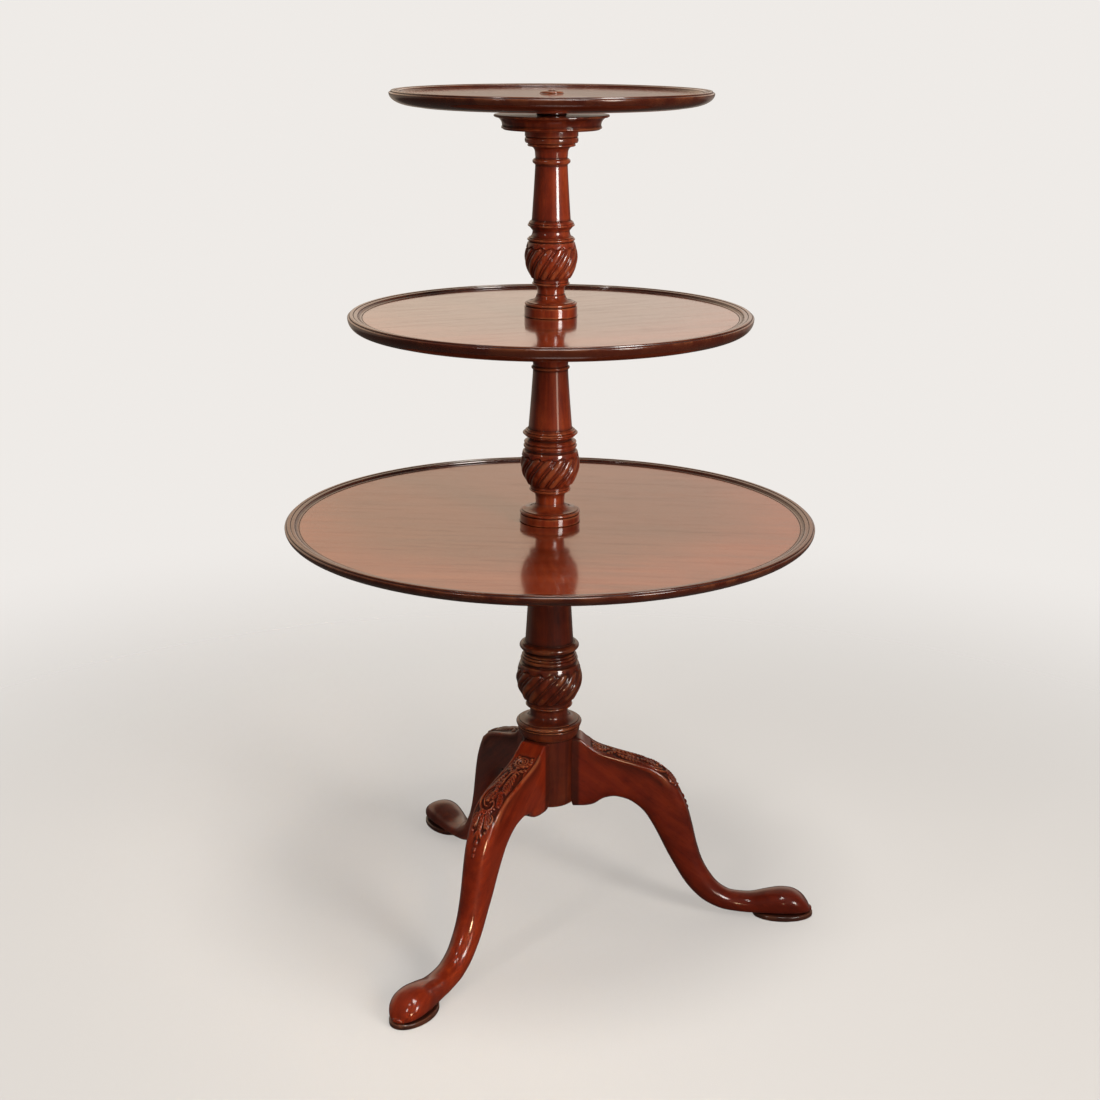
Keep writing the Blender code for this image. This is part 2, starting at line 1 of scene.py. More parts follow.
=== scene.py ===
import math

import bmesh
import bpy
import numpy as np
from mathutils import Matrix, Vector, kdtree


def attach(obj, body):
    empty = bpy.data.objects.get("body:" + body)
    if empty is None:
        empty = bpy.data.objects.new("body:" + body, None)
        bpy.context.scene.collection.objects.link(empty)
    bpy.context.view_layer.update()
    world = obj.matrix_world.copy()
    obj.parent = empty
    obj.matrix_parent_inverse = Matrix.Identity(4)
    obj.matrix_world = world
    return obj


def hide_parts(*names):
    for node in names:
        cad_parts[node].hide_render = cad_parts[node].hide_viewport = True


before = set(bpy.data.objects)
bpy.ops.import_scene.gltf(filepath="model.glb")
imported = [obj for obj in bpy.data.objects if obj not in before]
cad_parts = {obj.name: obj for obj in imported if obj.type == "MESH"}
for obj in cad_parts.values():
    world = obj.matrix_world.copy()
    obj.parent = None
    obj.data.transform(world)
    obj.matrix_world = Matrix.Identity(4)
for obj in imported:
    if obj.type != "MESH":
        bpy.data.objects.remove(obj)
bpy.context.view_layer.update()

mm = 0.001  # the table's pieces are written in mm and the studio in metres
axisX = -10.75  # the column's axis
spigotRadius = 11.0
boreRadius = 11.4
sharpAngle = 38
tiny = 1e-6
scene = bpy.context.scene


def putInScene(name, data):
    added = bpy.data.objects.new(name, data)
    scene.collection.objects.link(added)
    return added


def meshFrom(name, shape):
    mesh = bpy.data.meshes.new(name)
    shape.to_mesh(mesh)
    shape.free()
    return mesh


def aboutColumn(azimuth):
    return Matrix.Translation((axisX * mm, 0, 0)) @ Matrix.Rotation(math.radians(azimuth), 4, "Z")


studio = {
    "lens": 61.23,
    "sensor": 36,
    "shift": 0.00027,
    "cameraPlace": (0.01609, -2.19649, 1.12726),
    "cameraTurn": (73.774, 0.7, 0.264),  # tilt down, swing about the column, roll
    "backdrop": (0.86, 0.83, 0.80),
    "floor": (0.92, 0.885, 0.85),
    "floorUnseen": (0.10, 0.092, 0.085),  # for every ray but the camera's
    "floorRadius": 2.4,
    "floorFade": (0.55, 1.9),  # distances over which it fades into the backdrop
    "floorClear": 0.42,  # how much of the backdrop shows through it, which keeps its shadows soft
    "floorGrain": 700.0,
    "ambient": (0.105, 0.098, 0.09),
    "ambientBehind": (0.42, 0.39, 0.355),
    "walls": [  # what the polish mirrors in front of it, by height
        (0.185, (0.88, 0.705, 0.552)), (0.225, (0.72, 0.485, 0.350)),
        (0.270, (0.82, 0.550, 0.375)), (0.310, (0.87, 0.680, 0.485)),
    ],
    "rightTint": (0.94, 0.99, 1.08),
    "roomDim": (0.055, 0.045, 0.038),
    # where each part of the mirrored room comes in, from -1 to 1 along an axis of the direction
    "rightSide": (-0.2, 0.2),
    "wallSide": (0.10, 0.85),
    "wallLean": 0.30,
    "wallFoot": (-0.03, 0.155),
    "wallTop": (0.34, 0.62),
    "topDim": 0.75,
    "lowFoot": (-0.34, -0.20),
    "lowTop": (-0.12, -0.02),
    "lowShare": 0.28,
    "ambientSide": (-0.1, 0.6),
}
daylight = (1.0, 0.965, 0.92)
warmLight = (1.0, 0.83, 0.66)
goldenLight = (1.0, 0.72, 0.42)
lamps = {
    # width, height, power, degrees it spreads over, colour, place, point aimed at
    "window": (0.62, 1.00, 9.6, 80, daylight, (1.50, -1.66, 1.36), (0.0, 0.0, 1.0)),
    "windowFoot": (0.40, 0.50, 3.2, 180, warmLight, (1.50, -1.66, 0.50), (0.0, 0.0, 0.50)),
    "legGlow": (0.35, 0.35, 0.34, 22, goldenLight, (0.34, -2.13, 0.50), (-0.13, -0.24, 0.12)),
    "sideLamp": (0.16, 0.30, 4.2, 180, daylight, (-1.30, -1.75, 1.60), (0.0, 0.0, 0.35)),
    "overhead": (0.75, 0.75, 25.0, 180, daylight, (0.15, -0.55, 2.75), (0.0, 0.0, 0.5)),
    "ceilingLeft": (0.17, 0.17, 2.2, 180, daylight, (-0.95, -1.20, 2.50), (0.0, 0.0, 0.3)),
    "ceilingRight": (0.17, 0.17, 2.2, 180, daylight, (0.35, -1.20, 2.50), (0.0, 0.0, 0.3)),
}


class Wire:
    # a socket that does sums: each operator adds one Math node
    def __init__(self, bench, socket):
        self.bench = bench
        self.socket = socket

    def sums(self, operation, first, second):
        return self.bench.node("Math", {"operation": operation}, {0: first, 1: second})

    __add__ = lambda self, other: self.sums("ADD", self, other)
    __radd__ = lambda self, other: self.sums("ADD", other, self)
    __sub__ = lambda self, other: self.sums("SUBTRACT", self, other)
    __rsub__ = lambda self, other: self.sums("SUBTRACT", other, self)
    __mul__ = lambda self, other: self.sums("MULTIPLY", self, other)
    __rmul__ = lambda self, other: self.sums("MULTIPLY", other, self)


class Bench:
    # one node tree; node() adds any node: its settings first, then its sockets
    def __init__(self, name, tree=None):
        if tree is None:
            self.material = bpy.data.materials.new(name)
            self.material.use_nodes = True
            tree = self.material.node_tree
        self.tree = tree
        self.tree.nodes.clear()

    def node(self, kind, settings=None, sockets=None, output=0):
        added = self.tree.nodes.new("ShaderNode" + kind)
        for key, value in (settings or {}).items():
            setattr(added, key, value)
        for key, value in (sockets or {}).items():
            if isinstance(value, Wire):
                self.tree.links.new(value.socket, added.inputs[key])
            else:
                added.inputs[key].default_value = value
        return Wire(self, added.outputs[output]) if len(added.outputs) else None

    def spot(self):
        return self.node("TexCoord", output="Object")

    def noise(self, spot, scale, detail=3.0, roughness=0.55, distortion=0.0):
        sockets = {"Vector": spot, "Scale": scale, "Detail": detail, "Roughness": roughness, "Distortion": distortion}
        return self.node("TexNoise", None, sockets)

    def grain(self, spot, scales, *looks):
        stretched = self.node("VectorMath", {"operation": "MULTIPLY"}, {0: spot, 1: scales})
        return self.noise(stretched, 1.0, *looks)

    def rise(self, value, low, high):
        sockets = {"Value": value, "From Min": low, "From Max": high}
        return self.node("MapRange", {"interpolation_type": "SMOOTHSTEP"}, sockets)

    def blend(self, mask, first, second, how="MIX"):
        # 6 and 7 are the Mix node's colour sockets, and 2 is its colour output
        colours = [tuple(c) + (1,) if isinstance(c, tuple) else c for c in (first, second)]
        settings = {"data_type": "RGBA", "blend_type": how}
        return self.node("Mix", settings, {0: mask, 6: colours[0], 7: colours[1]}, 2)

    def ramp(self, value, stops):
        result = self.node("ValToRGB", None, {0: value})
        elements = result.socket.node.color_ramp.elements
        while len(elements) < len(stops):
            elements.new(0.5)
        for element, (position, colour) in zip(elements, stops):
            element.position = position
            element.color = (*colour, 1)
        return result

    def bump(self, strength, distance, height):
        return self.node("Bump", None, {"Strength": strength, "Distance": distance, "Height": height})

    def mark(self, name):
        return self.node("Attribute", {"attribute_name": name}, output="Fac")

    def shader(self, sockets):
        surface = self.node("BsdfPrincipled", None, sockets)
        self.node("OutputMaterial", None, {"Surface": surface})
        return self.material


def makeCamera():
    camera = putInScene("camera", bpy.data.cameras.new("camera"))
    tilt, swing, roll = (math.radians(angle) for angle in studio["cameraTurn"])
    turn = Matrix.Rotation(swing, 4, "Z") @ Matrix.Rotation(tilt, 4, "X") @ Matrix.Rotation(roll, 4, "Z")
    camera.matrix_world = Matrix.Translation(studio["cameraPlace"]) @ turn
    camera.data.lens = studio["lens"]
    camera.data.sensor_width = studio["sensor"]
    camera.data.shift_x = studio["shift"]
    scene.camera = camera


def makeLamps():
    for name, (width, height, power, spread, colour, place, target) in lamps.items():
        lamp = bpy.data.lights.new(name, "AREA")
        lamp.shape = "RECTANGLE"
        lamp.size = width
        lamp.size_y = height
        lamp.energy = power
        lamp.spread = math.radians(spread)
        lamp.color = colour
        holder = putInScene(name, lamp)
        holder.location = place
        aim = Vector(place) - Vector(target)
        holder.rotation_euler = aim.to_track_quat("Z", "Y").to_euler()


def makeWorld():
    # diffuse rays get an even soft light; the polish mirrors a pale room that is dimmer behind the camera
    world = bpy.data.worlds.new("studio")
    scene.world = world
    world.use_nodes = True
    bench = Bench("studio", world.node_tree)
    part = lambda value, name: bench.rise(value, *studio[name])
    spot = bench.node("TexCoord", output="Generated")
    sideways, forward, upward = (bench.node("SeparateXYZ", None, {0: spot}, axis) for axis in range(3))
    walls = bench.ramp(upward, studio["walls"])
    tint = bench.blend(part(sideways, "rightSide"), (1.0, 1.0, 1.0), studio["rightTint"])
    walls = bench.blend(1.0, walls, tint, "MULTIPLY")
    shallow = part(upward, "lowFoot") * (1.0 - part(upward, "lowTop"))
    level = part(upward, "wallFoot") + studio["lowShare"] * shallow
    facing = part(forward - studio["wallLean"] * sideways, "wallSide") * level
    facing = facing * (1.0 - studio["topDim"] * part(upward, "wallTop"))
    room = bench.blend(facing, studio["roomDim"], walls)
    rays = bench.node("LightPath", output="Is Camera Ray")
    gloss = bench.node("LightPath", output="Is Glossy Ray")
    fill = bench.blend(part(forward, "ambientSide"), studio["ambient"], studio["ambientBehind"])
    seen = bench.blend(rays, bench.blend(gloss, fill, room), studio["backdrop"])
    background = bench.node("Background", None, {"Color": seen, "Strength": 1.0})
    bench.node("OutputWorld", None, {"Surface": background})


def makeFloor():
    # a pale disc that fades into the backdrop well away from the table, and is clear from below
    shape = bmesh.new()
    bmesh.ops.create_circle(shape, cap_ends=True, segments=96, radius=studio["floorRadius"])
    floor = putInScene("studioFloor", meshFrom("studioFloor", shape))
    bench = Bench("pale studio floor")
    spot = bench.spot()
    away = bench.node("VectorMath", {"operation": "LENGTH"}, {0: spot}, 1)
    clear = studio["floorClear"]
    fade = bench.rise(away, *studio["floorFade"]) * (1 - clear) + clear
    camera = bench.node("LightPath", output="Is Camera Ray")
    matte = bench.node("BsdfPrincipled", None, {
        "Base Color": bench.blend(camera, studio["floorUnseen"], studio["floor"]),
        "Roughness": 0.9,
        "Specular IOR Level": 0.1,
        "Normal": bench.bump(0.2, 0.001, bench.noise(spot, studio["floorGrain"], 2.0)),
    })
    glass = bench.node("BsdfTransparent", None, {0: (1, 1, 1, 1)})
    below = bench.node("NewGeometry", output="Backfacing")
    seeThrough = bench.node("Math", {"operation": "MAXIMUM"}, {0: fade, 1: below})
    surface = bench.node("MixShader", None, {0: seeThrough, 1: matte, 2: glass})
    bench.node("OutputMaterial", None, {"Surface": surface})
    floor.data.materials.append(bench.material)


makeCamera()
makeLamps()
makeWorld()
makeFloor()
scene.view_settings.view_transform = "Standard"
print("studio: camera, lamps, backdrop and floor")


polish = {
    # colours laid over the wood: grime and painted shade in its hollows, wear and a painted sheen on its crests,
    # blotches, and painted shade on a tray's rim and low on the pedestal
    "grimeAndPaintedShade": (0.016, 0.006, 0.004),
    "worn": (0.47, 0.165, 0.064),
    "blotch": (0.50, 0.40, 0.38),
    # rim is the colour of painted shade, on a tray's rim and on the pedestal under the lower tray
    "rim": (0.030, 0.0056, 0.0030),
    # how strong they are, where a wood has no value of its own
    "wearAndSheen": 0.16,
    "mottle": 0.75,
    "scuffs": 0.05,
    "poreDark": 0.55,
    "paintedShadeShare": 0.85,
    # how much the coat is thinned in hollows, in dull patches and where shade is painted
    "thinned": (0.85, 0.12, 0.30),
    "clouding": 0.10,
    "bump": (0.10, 0.0004),
    "shares": (0.42, 0.43, 0.15),  # of streaks, ribbons and flame in the wood's tone
}
ranges = {
    # the noise values between which each of these comes in
    "pores": (0.60, 0.72),
    "blotches": (0.44, 0.70),
    "scuffs": (0.46, 0.72),
    "worn": (0.38, 0.62),
    "dull": (0.55, 0.8),
}
figure = {
    # scales per metre along, across and up the grain, then detail, roughness and distortion
    "flame": ((28.0, 11.0, 11.0), 2.0, 0.5, 0.8),
    "pores": ((110.0, 2300.0, 2300.0), 1.5),
    "blotches": ((14.0, 26.0, 26.0), 5.0, 0.65),
    "scuffs": ((9.0, 90.0, 90.0), 4.0, 0.7),
}
columnWood = {"along": 5.0, "across": 120.0, "spread": 0.17, "wearAndSheen": 0.36, "coatRoughness": 0.06, "under": (0.45, 0.12)}
legWood = {"along": 5.0, "across": 150.0, "spread": 0.34, "wearAndSheen": 0.50, "coatRoughness": 0.11, "under": (0.45, 0.12)}
padWood = {"along": 5.0, "across": 120.0, "spread": 0.20, "coatRoughness": 0.16, "under": (0.55, 0.3)}
trayWood = {"spread": 0.17, "coatRoughness": 0.085, "under": (0.16, 0.5), "scuffs": 0.20, "mottle": 0.18}
woods = {
    # the turn lays the texture's X along the grain; then the three tones, the grain's scales per metre,
    # how far the tones spread, how soft the polish is, and how rough and bright the wood under it is
    "column mahogany": {
        "turn": (0.0, 90, 0.0),
        "tones": ((0.050, 0.0052, 0.0022), (0.175, 0.0205, 0.0062), (0.345, 0.056, 0.0135)), **columnWood,
    },
    "leg mahogany": {
        "turn": (0.0, -38, 0.0),
        "tones": ((0.058, 0.0054, 0.0021), (0.175, 0.0185, 0.0052), (0.33, 0.049, 0.0110)), **legWood,
    },
    "lower tray mahogany": {
        "turn": (0.0, 0.0, 4), "along": 3.0, "across": 85.0,
        "tones": ((0.150, 0.016, 0.0052), (0.255, 0.035, 0.0105), (0.35, 0.062, 0.019)), **trayWood,
    },
    "middle tray mahogany": {
        "turn": (0.0, 0.0, -24), "along": 3.4, "across": 95.0,
        "tones": ((0.150, 0.017, 0.0056), (0.255, 0.036, 0.0110), (0.35, 0.062, 0.019)), **trayWood,
    },
    "pad mahogany": {
        "turn": (0.0, 0.0, 0.0),
        "tones": ((0.012, 0.0050, 0.0032), (0.058, 0.0125, 0.0066), (0.115, 0.034, 0.019)), **padWood,
    },
    "top tray mahogany": {
        "turn": (0.0, 0.0, 58), "along": 3.6, "across": 95.0,
        "tones": ((0.145, 0.016, 0.0054), (0.245, 0.034, 0.0105), (0.34, 0.060, 0.018)), **trayWood,
    },
}
litAndShadedCopies = {
    # the same wood painted brighter or darker for how each piece is lit, the upper column and front leg as lit and the
    # lower column and right leg as shaded: red, green and blue
    "upper column mahogany": ("column mahogany", (1.22, 1.12, 0.95)),
    "middle column mahogany": ("column mahogany", (1.04, 0.98, 0.85)),
    "lower column mahogany": ("column mahogany", (0.60, 0.62, 0.60)),
    "right leg mahogany": ("leg mahogany", (0.88, 0.74, 0.68)),
    "rear leg mahogany": ("leg mahogany", (1.0, 1.0, 0.9)),
    "front leg mahogany": ("leg mahogany", (1.26, 1.14, 0.88)),
}
for name, (source, gains) in litAndShadedCopies.items():
    tones = [tuple(part * gain for part, gain in zip(tone, gains)) for tone in woods[source]["tones"]]
    woods[name] = {**woods[source], "tones": tones}


def mahogany(name):
    look = {**polish, **woods[name]}
    bench = Bench(name)
    spot = bench.spot()
    turn = [math.radians(angle) for angle in look["turn"]]
    laid = bench.node("Mapping", {"vector_type": "POINT"}, {"Vector": spot, "Rotation": turn})
    along, across = look["along"], look["across"]
    streaks = bench.grain(laid, (along, across, across), 5.0, 0.6, 0.4)
    ribbons = bench.grain(laid, (along * 0.6, across * 0.16, across * 0.16), 3.0, 0.5, 1.4)
    flame, pores, blotches, scuffs = (bench.grain(laid, *layer) for layer in figure.values())
    patches = bench.noise(spot, 38.0, 4.0, 0.6)
    clouds = bench.noise(spot, 14.0, 3.0)
    hollow, crest, rim = bench.mark("hollow"), bench.mark("crest"), bench.mark("paintedShade")
    pores = bench.rise(pores, *ranges["pores"])
    blotches = bench.rise(blotches, *ranges["blotches"])
    scuffs = bench.rise(scuffs, *ranges["scuffs"]) * look["scuffs"]
    # wear and a painted sheen: proud crests go lighter, in patches
    wearAndSheen = crest * bench.rise(patches, *ranges["worn"]) * look["wearAndSheen"]
    streaky, ribboned, flamed = look["shares"]
    tone = streaks * streaky + ribbons * ribboned + flame * flamed
    dark, middle, light = look["tones"]
    colour = bench.ramp(tone, [(0.5 - look["spread"], dark), (0.5, middle), (0.5 + look["spread"], light)])
    colour = bench.blend(pores * look["poreDark"], colour, dark, "MULTIPLY")
    colour = bench.blend(blotches * look["mottle"], colour, look["blotch"], "MULTIPLY")
    # painted shade on the trays' rims and low on the pedestal
    colour = bench.blend(rim * look["paintedShadeShare"], colour, look["rim"])
    # grime and painted shade: darker where the surface lies in a groove, a quirk or the carving's ground
    colour = bench.blend(hollow * (0.55 + patches * 0.5), colour, look["grimeAndPaintedShade"])
    # wear and a painted sheen on the crests
    colour = bench.blend(wearAndSheen, colour, look["worn"])
    underRough, underBright = look["under"]
    inHollows, inPatches, inPaintedShade = look["thinned"]
    coat = 1.0 - hollow * inHollows - bench.rise(patches, *ranges["dull"]) * inPatches - scuffs - rim * inPaintedShade
    return bench.shader({
        "Base Color": colour,
        "Roughness": underRough + hollow * 0.25 + (clouds - 0.5) * look["clouding"],
        "Coat Weight": coat,
        "Coat Roughness": look["coatRoughness"],
        "Coat IOR": 1.5,
        "IOR": 1.5,
        "Specular IOR Level": underBright,
        "Normal": bench.bump(*look["bump"], streaks * 0.35 - pores * 0.5),
    })


def oiledLeather():
    bench = Bench("oiled leather")
    spot = bench.spot()
    grain = bench.node("TexVoronoi", {"feature": "DISTANCE_TO_EDGE"}, {"Vector": spot, "Scale": 900.0})
    clouds = bench.noise(spot, 160.0, 3.0)
    return bench.shader({
        "Base Color": bench.blend(clouds, (0.022, 0.011, 0.007), (0.075, 0.036, 0.020)),
        "Roughness": 0.62 + clouds * 0.2,
        "Normal": bench.bump(0.5, 0.0002, bench.rise(grain, 0.0, 0.12)),
    })


def blackIron():
    bench = Bench("black iron")
    spot = bench.spot()
    rust = bench.rise(bench.noise(spot, 90.0, 5.0, 0.65), 0.55, 0.75)
    return bench.shader({
        "Base Color": bench.blend(rust * 0.7, (0.042, 0.038, 0.036), (0.115, 0.045, 0.020)),
        "Metallic": 0.9 - rust * 0.8,
        "Roughness": 0.52 + rust * 0.3,
        "Normal": bench.bump(0.35, 0.0003, bench.noise(spot, 850.0, 3.0)),
    })


def wornSteel():
    bench = Bench("worn steel")
    spot = bench.spot()
    clouds = bench.noise(spot, 420.0, 4.0, 0.6)
    return bench.shader({
        "Base Color": bench.blend(clouds, (0.17, 0.155, 0.14), (0.38, 0.36, 0.33)),
        "Metallic": 0.95,
        "Roughness": 0.34 + clouds * 0.2,
        "Normal": bench.bump(0.2, 0.0001, bench.grain(spot, (1500.0, 6000.0, 1500.0), 2.0)),
    })


finishes = {name: mahogany(name) for name in woods}
finishes["oiled leather"] = oiledLeather()
finishes["black iron"] = blackIron()
finishes["worn steel"] = wornSteel()
print("finishes:", len(finishes))


def mould(outline, steps):
    # runs an outline of (radius, height) on: each step has a radius and a drop, and is a straight line
    # unless the name of a half-round bulge or a quarter curve stands before them
    for *kind, radius, drop in steps:
        lastRadius, lastHeight = outline[-1]
        if not kind:
            moves = [(1, 1)]
        elif kind == ["bulge"]:
            moves = [(math.sin(angle), (1 - math.cos(angle)) / 2) for angle in np.arange(1, 15) * math.pi / 14]
        else:
            moves = [(1 - math.cos(angle), math.sin(angle)) for angle in np.arange(1, 11) * (math.pi / 2) / 10]
            if kind == ["flatFirst"]:
                moves = [(fast, slow) for slow, fast in moves]
        for outward, down in moves:
            outline.append((lastRadius + (radius - lastRadius) * outward, lastHeight - drop * down))
    return outline


def besides(radius, steps):
    # the same steps with their radii counted from another one
    return [(*kind, radius + reach, drop) for *kind, reach, drop in steps]


def dropOf(steps):
    return sum(step[-1] for step in steps)


def soften(outline, size=0.16, closed=False):
    # rounds each sharp corner a little, as a tool and years of polish do
    sharpest, longest = math.radians(158), 0.42
    points = [Vector(point) for point in outline]
    result = []
    for index, corner in enumerate(points):
        before, after = points[index - 1], points[(index + 1) % len(points)]
        atEnd = not closed and index in (0, len(points) - 1)
        back, ahead = before - corner, after - corner
        if atEnd or min(back.length, ahead.length) < tiny or back.angle(ahead) > sharpest:
            result.append(tuple(corner))
            continue
        start = corner + back.normalized() * min(size, back.length * longest)
        end = corner + ahead.normalized() * min(size, ahead.length * longest)
        for share in (0.0, 0.3, 0.7, 1.0):
            result.append(tuple(start.lerp(corner, share).lerp(corner.lerp(end, share), share)))
    return result


def splitRuns(outline, closed, longRun=5.0, inset=1.6):
    # adds points near the ends of long runs, so a mark at a corner stays at the corner
    result = []
    ends = outline[1:] + outline[:1] if closed else outline[1:]
    for start, end in zip(outline, ends):
        result.append(start)
        length = math.dist(start, end)
        if length > longRun:
            for share in (inset / length, 1 - inset / length):
                result.append(tuple(near + (far - near) * share for near, far in zip(start, end)))
    return result if closed else result + [outline[-1]]


def rise(value, low, high):
    share = np.clip((value - low) / (high - low), 0, 1)
    return share * share * (3 - 2 * share)


def within(value, start, end):
    return rise(value, *start) * (1 - rise(value, *end))


def travelAlong(path):
    return np.concatenate(([0.0], np.cumsum(np.hypot(*np.diff(path, axis=0).T))))


def blurred(values, spread, axis=0, mode="edge"):
    width = max(1, int(spread * 3))
    kernel = np.exp(-0.5 * (np.arange(-width, width + 1) / spread) ** 2)
    kernel /= kernel.sum()
    padding = [(width, width) if side == axis else (0, 0) for side in range(values.ndim)]
    padded = np.pad(values, padding, mode=mode)
    return np.apply_along_axis(lambda line: np.convolve(line, kernel, mode="valid"), axis, padded)


def hollowsAlong(outline, closed, reach=1.1, depth=0.30, pitch=0.2):
    # how deep each point lies in a hollow of the outline, and how proud it stands, both 0 to 1
    line = np.array(outline + [outline[0]] if closed else outline)
    travel = travelAlong(line)
    fine = np.arange(0, travel[-1], pitch)
    dense = np.stack([np.interp(fine, travel, line[:, axis]) for axis in (0, 1)], 1)
    smooth = blurred(dense, reach / pitch, mode="wrap" if closed else "edge")
    along = np.gradient(smooth, axis=0)
    along /= np.maximum(np.hypot(along[:, 0], along[:, 1]), 1e-9)[:, None]
    inset = (smooth[:, 0] - dense[:, 0]) * -along[:, 1] + (smooth[:, 1] - dense[:, 1]) * along[:, 0]
    inset = np.interp(travel[:len(outline)], fine, inset)
    return np.clip(inset / depth, 0, 1), np.clip(-inset / depth, 0, 1)


def addMesh(name, points, faces, marks, sharp=sharpAngle):
    # marks are named values per point that the finishes read
    mesh = bpy.data.meshes.new(name)
    mesh.from_pydata((np.asarray(points) * mm).tolist(), [], faces)
    mesh.update()
    for markName, values in marks.items():
        layer = mesh.attributes.new(markName, "FLOAT", "POINT")
        layer.data.foreach_set("value", np.asarray(values, dtype=np.float32).ravel())
    mesh.shade_smooth()
    mesh.set_sharp_from_angle(angle=math.radians(sharp))
    return putInScene(name, mesh)


def bridge(upper, lower, step, after):
    # the faces of one step between two rings, where either may be a point or twice as fine
    if len(upper) == 1:
        return [(upper[0], lower[step], lower[after])]
    if len(lower) == 1:
        return [(upper[step], lower[0], upper[after])]
    if len(upper) > len(lower):
        first, middle, last = upper[2 * step], upper[2 * step + 1], upper[2 * after]
        return [(first, lower[step], middle), (middle, lower[step], lower[after], last)]
    if len(upper) < len(lower):
        first, middle, last = lower[2 * step], lower[2 * step + 1], lower[2 * after]
        return [(upper[step], first, middle), (upper[step], middle, last, upper[after])]
    return [(upper[step], lower[step], lower[after], upper[after])]


def skin(rings, closed=False):
    # the faces between whole rings of points, from the first ring down to the last
    faces = []
    for upper, lower in list(zip(rings, rings[1:])) + ([(rings[-1], rings[0])] if closed else []):
        fewest = min(count for count in (len(upper), len(lower)) if count > 1)
        for step in range(fewest):
            faces += bridge(upper, lower, step, (step + 1) % fewest)
    return faces


def turnedPiece(name, outline, turns, closed=False, relief=None, paintedShade=None, oval=1.0, centre=(axisX, 0.0)):
    # spins an outline of (radius, height) that runs down the outer side; relief is a carving, and its
    # heights, where the rings have twice the points
    outline = splitRuns([(max(radius, 0.0), height) for radius, height in outline], closed)
    carve, low, high = relief or (None, 1, 0)
    points, rings, hollows, crests, edges = [], [], [], [], []
    for (radius, height), sunk, proud in zip(outline, *hollowsAlong(outline, closed)):
        lone = radius < tiny
        count = 1 if lone else turns * 2 if low < height < high else turns
        turned = np.arange(count) * math.tau / count
        around, sunk, proud = (np.full(count, value) for value in (radius, sunk, proud))
        if carve and not lone:
            change, groove, face = carve(turned, height)
            around = around + change
            sunk = np.clip(np.maximum(sunk, groove), 0, 1)
            proud = np.maximum(proud, face)
        rings.append(range(len(points), len(points) + count))
        for angle, reach in zip(turned, around):
            points.append((centre[0] + oval * reach * math.cos(angle), centre[1] + reach * math.sin(angle), height))
        hollows.extend(sunk)
        crests.extend(proud)
        # painted shade from the given function, the same all round the ring
        edges.extend([float(paintedShade(radius, height)) if paintedShade else 0.0] * count)
    return addMesh(name, points, skin(rings, closed), {"hollow": hollows, "crest": crests, "paintedShade": edges})


def settle(piece, finish, node, body="pedestal"):
    piece.data.materials.append(finishes[finish])
    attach(piece, body)
    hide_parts(node)


def cutterBlock(name, cornerAt, place):
    # cornerAt gives a corner's place in mm from its side on each axis, which is -1 or 1
    shape = bmesh.new()
    bmesh.ops.create_cube(shape, size=2)
    for vertex in shape.verts:
        vertex.co = [value * mm for value in cornerAt(*vertex.co)]
    cutter = putInScene(name, meshFrom(name, shape))
    cutter.matrix_world = place
    return cutter


def cutAway(piece, cutters):
    # takes the cutters out of the piece and keeps its marks
    old = piece.data
    tree = kdtree.KDTree(len(old.vertices))
    for vertex in old.vertices:
        tree.insert(vertex.co, vertex.index)
    tree.balance()
    for cutter in cutters:
        boolean = piece.modifiers.new("cut", "BOOLEAN")
        boolean.operation = "DIFFERENCE"
        boolean.object = cutter
    graph = bpy.context.evaluated_depsgraph_get()
    new = bpy.data.meshes.new_from_object(piece.evaluated_get(graph))
    nearest = [tree.find(vertex.co)[1] for vertex in new.vertices]
    for markName in ("hollow", "crest", "paintedShade"):
        values = np.zeros(len(old.vertices), np.float32)
        old.attributes[markName].data.foreach_get("value", values)
        kept = new.attributes.get(markName)
        if kept:
            new.attributes.remove(kept)
        fresh = new.attributes.new(markName, "FLOAT", "POINT")
        fresh.data.foreach_set("value", values[nearest])
    new.shade_smooth()
    new.set_sharp_from_angle(angle=math.radians(sharpAngle))
    piece.modifiers.clear()
    piece.data = new
    for cutter in cutters:
        bpy.data.objects.remove(cutter)


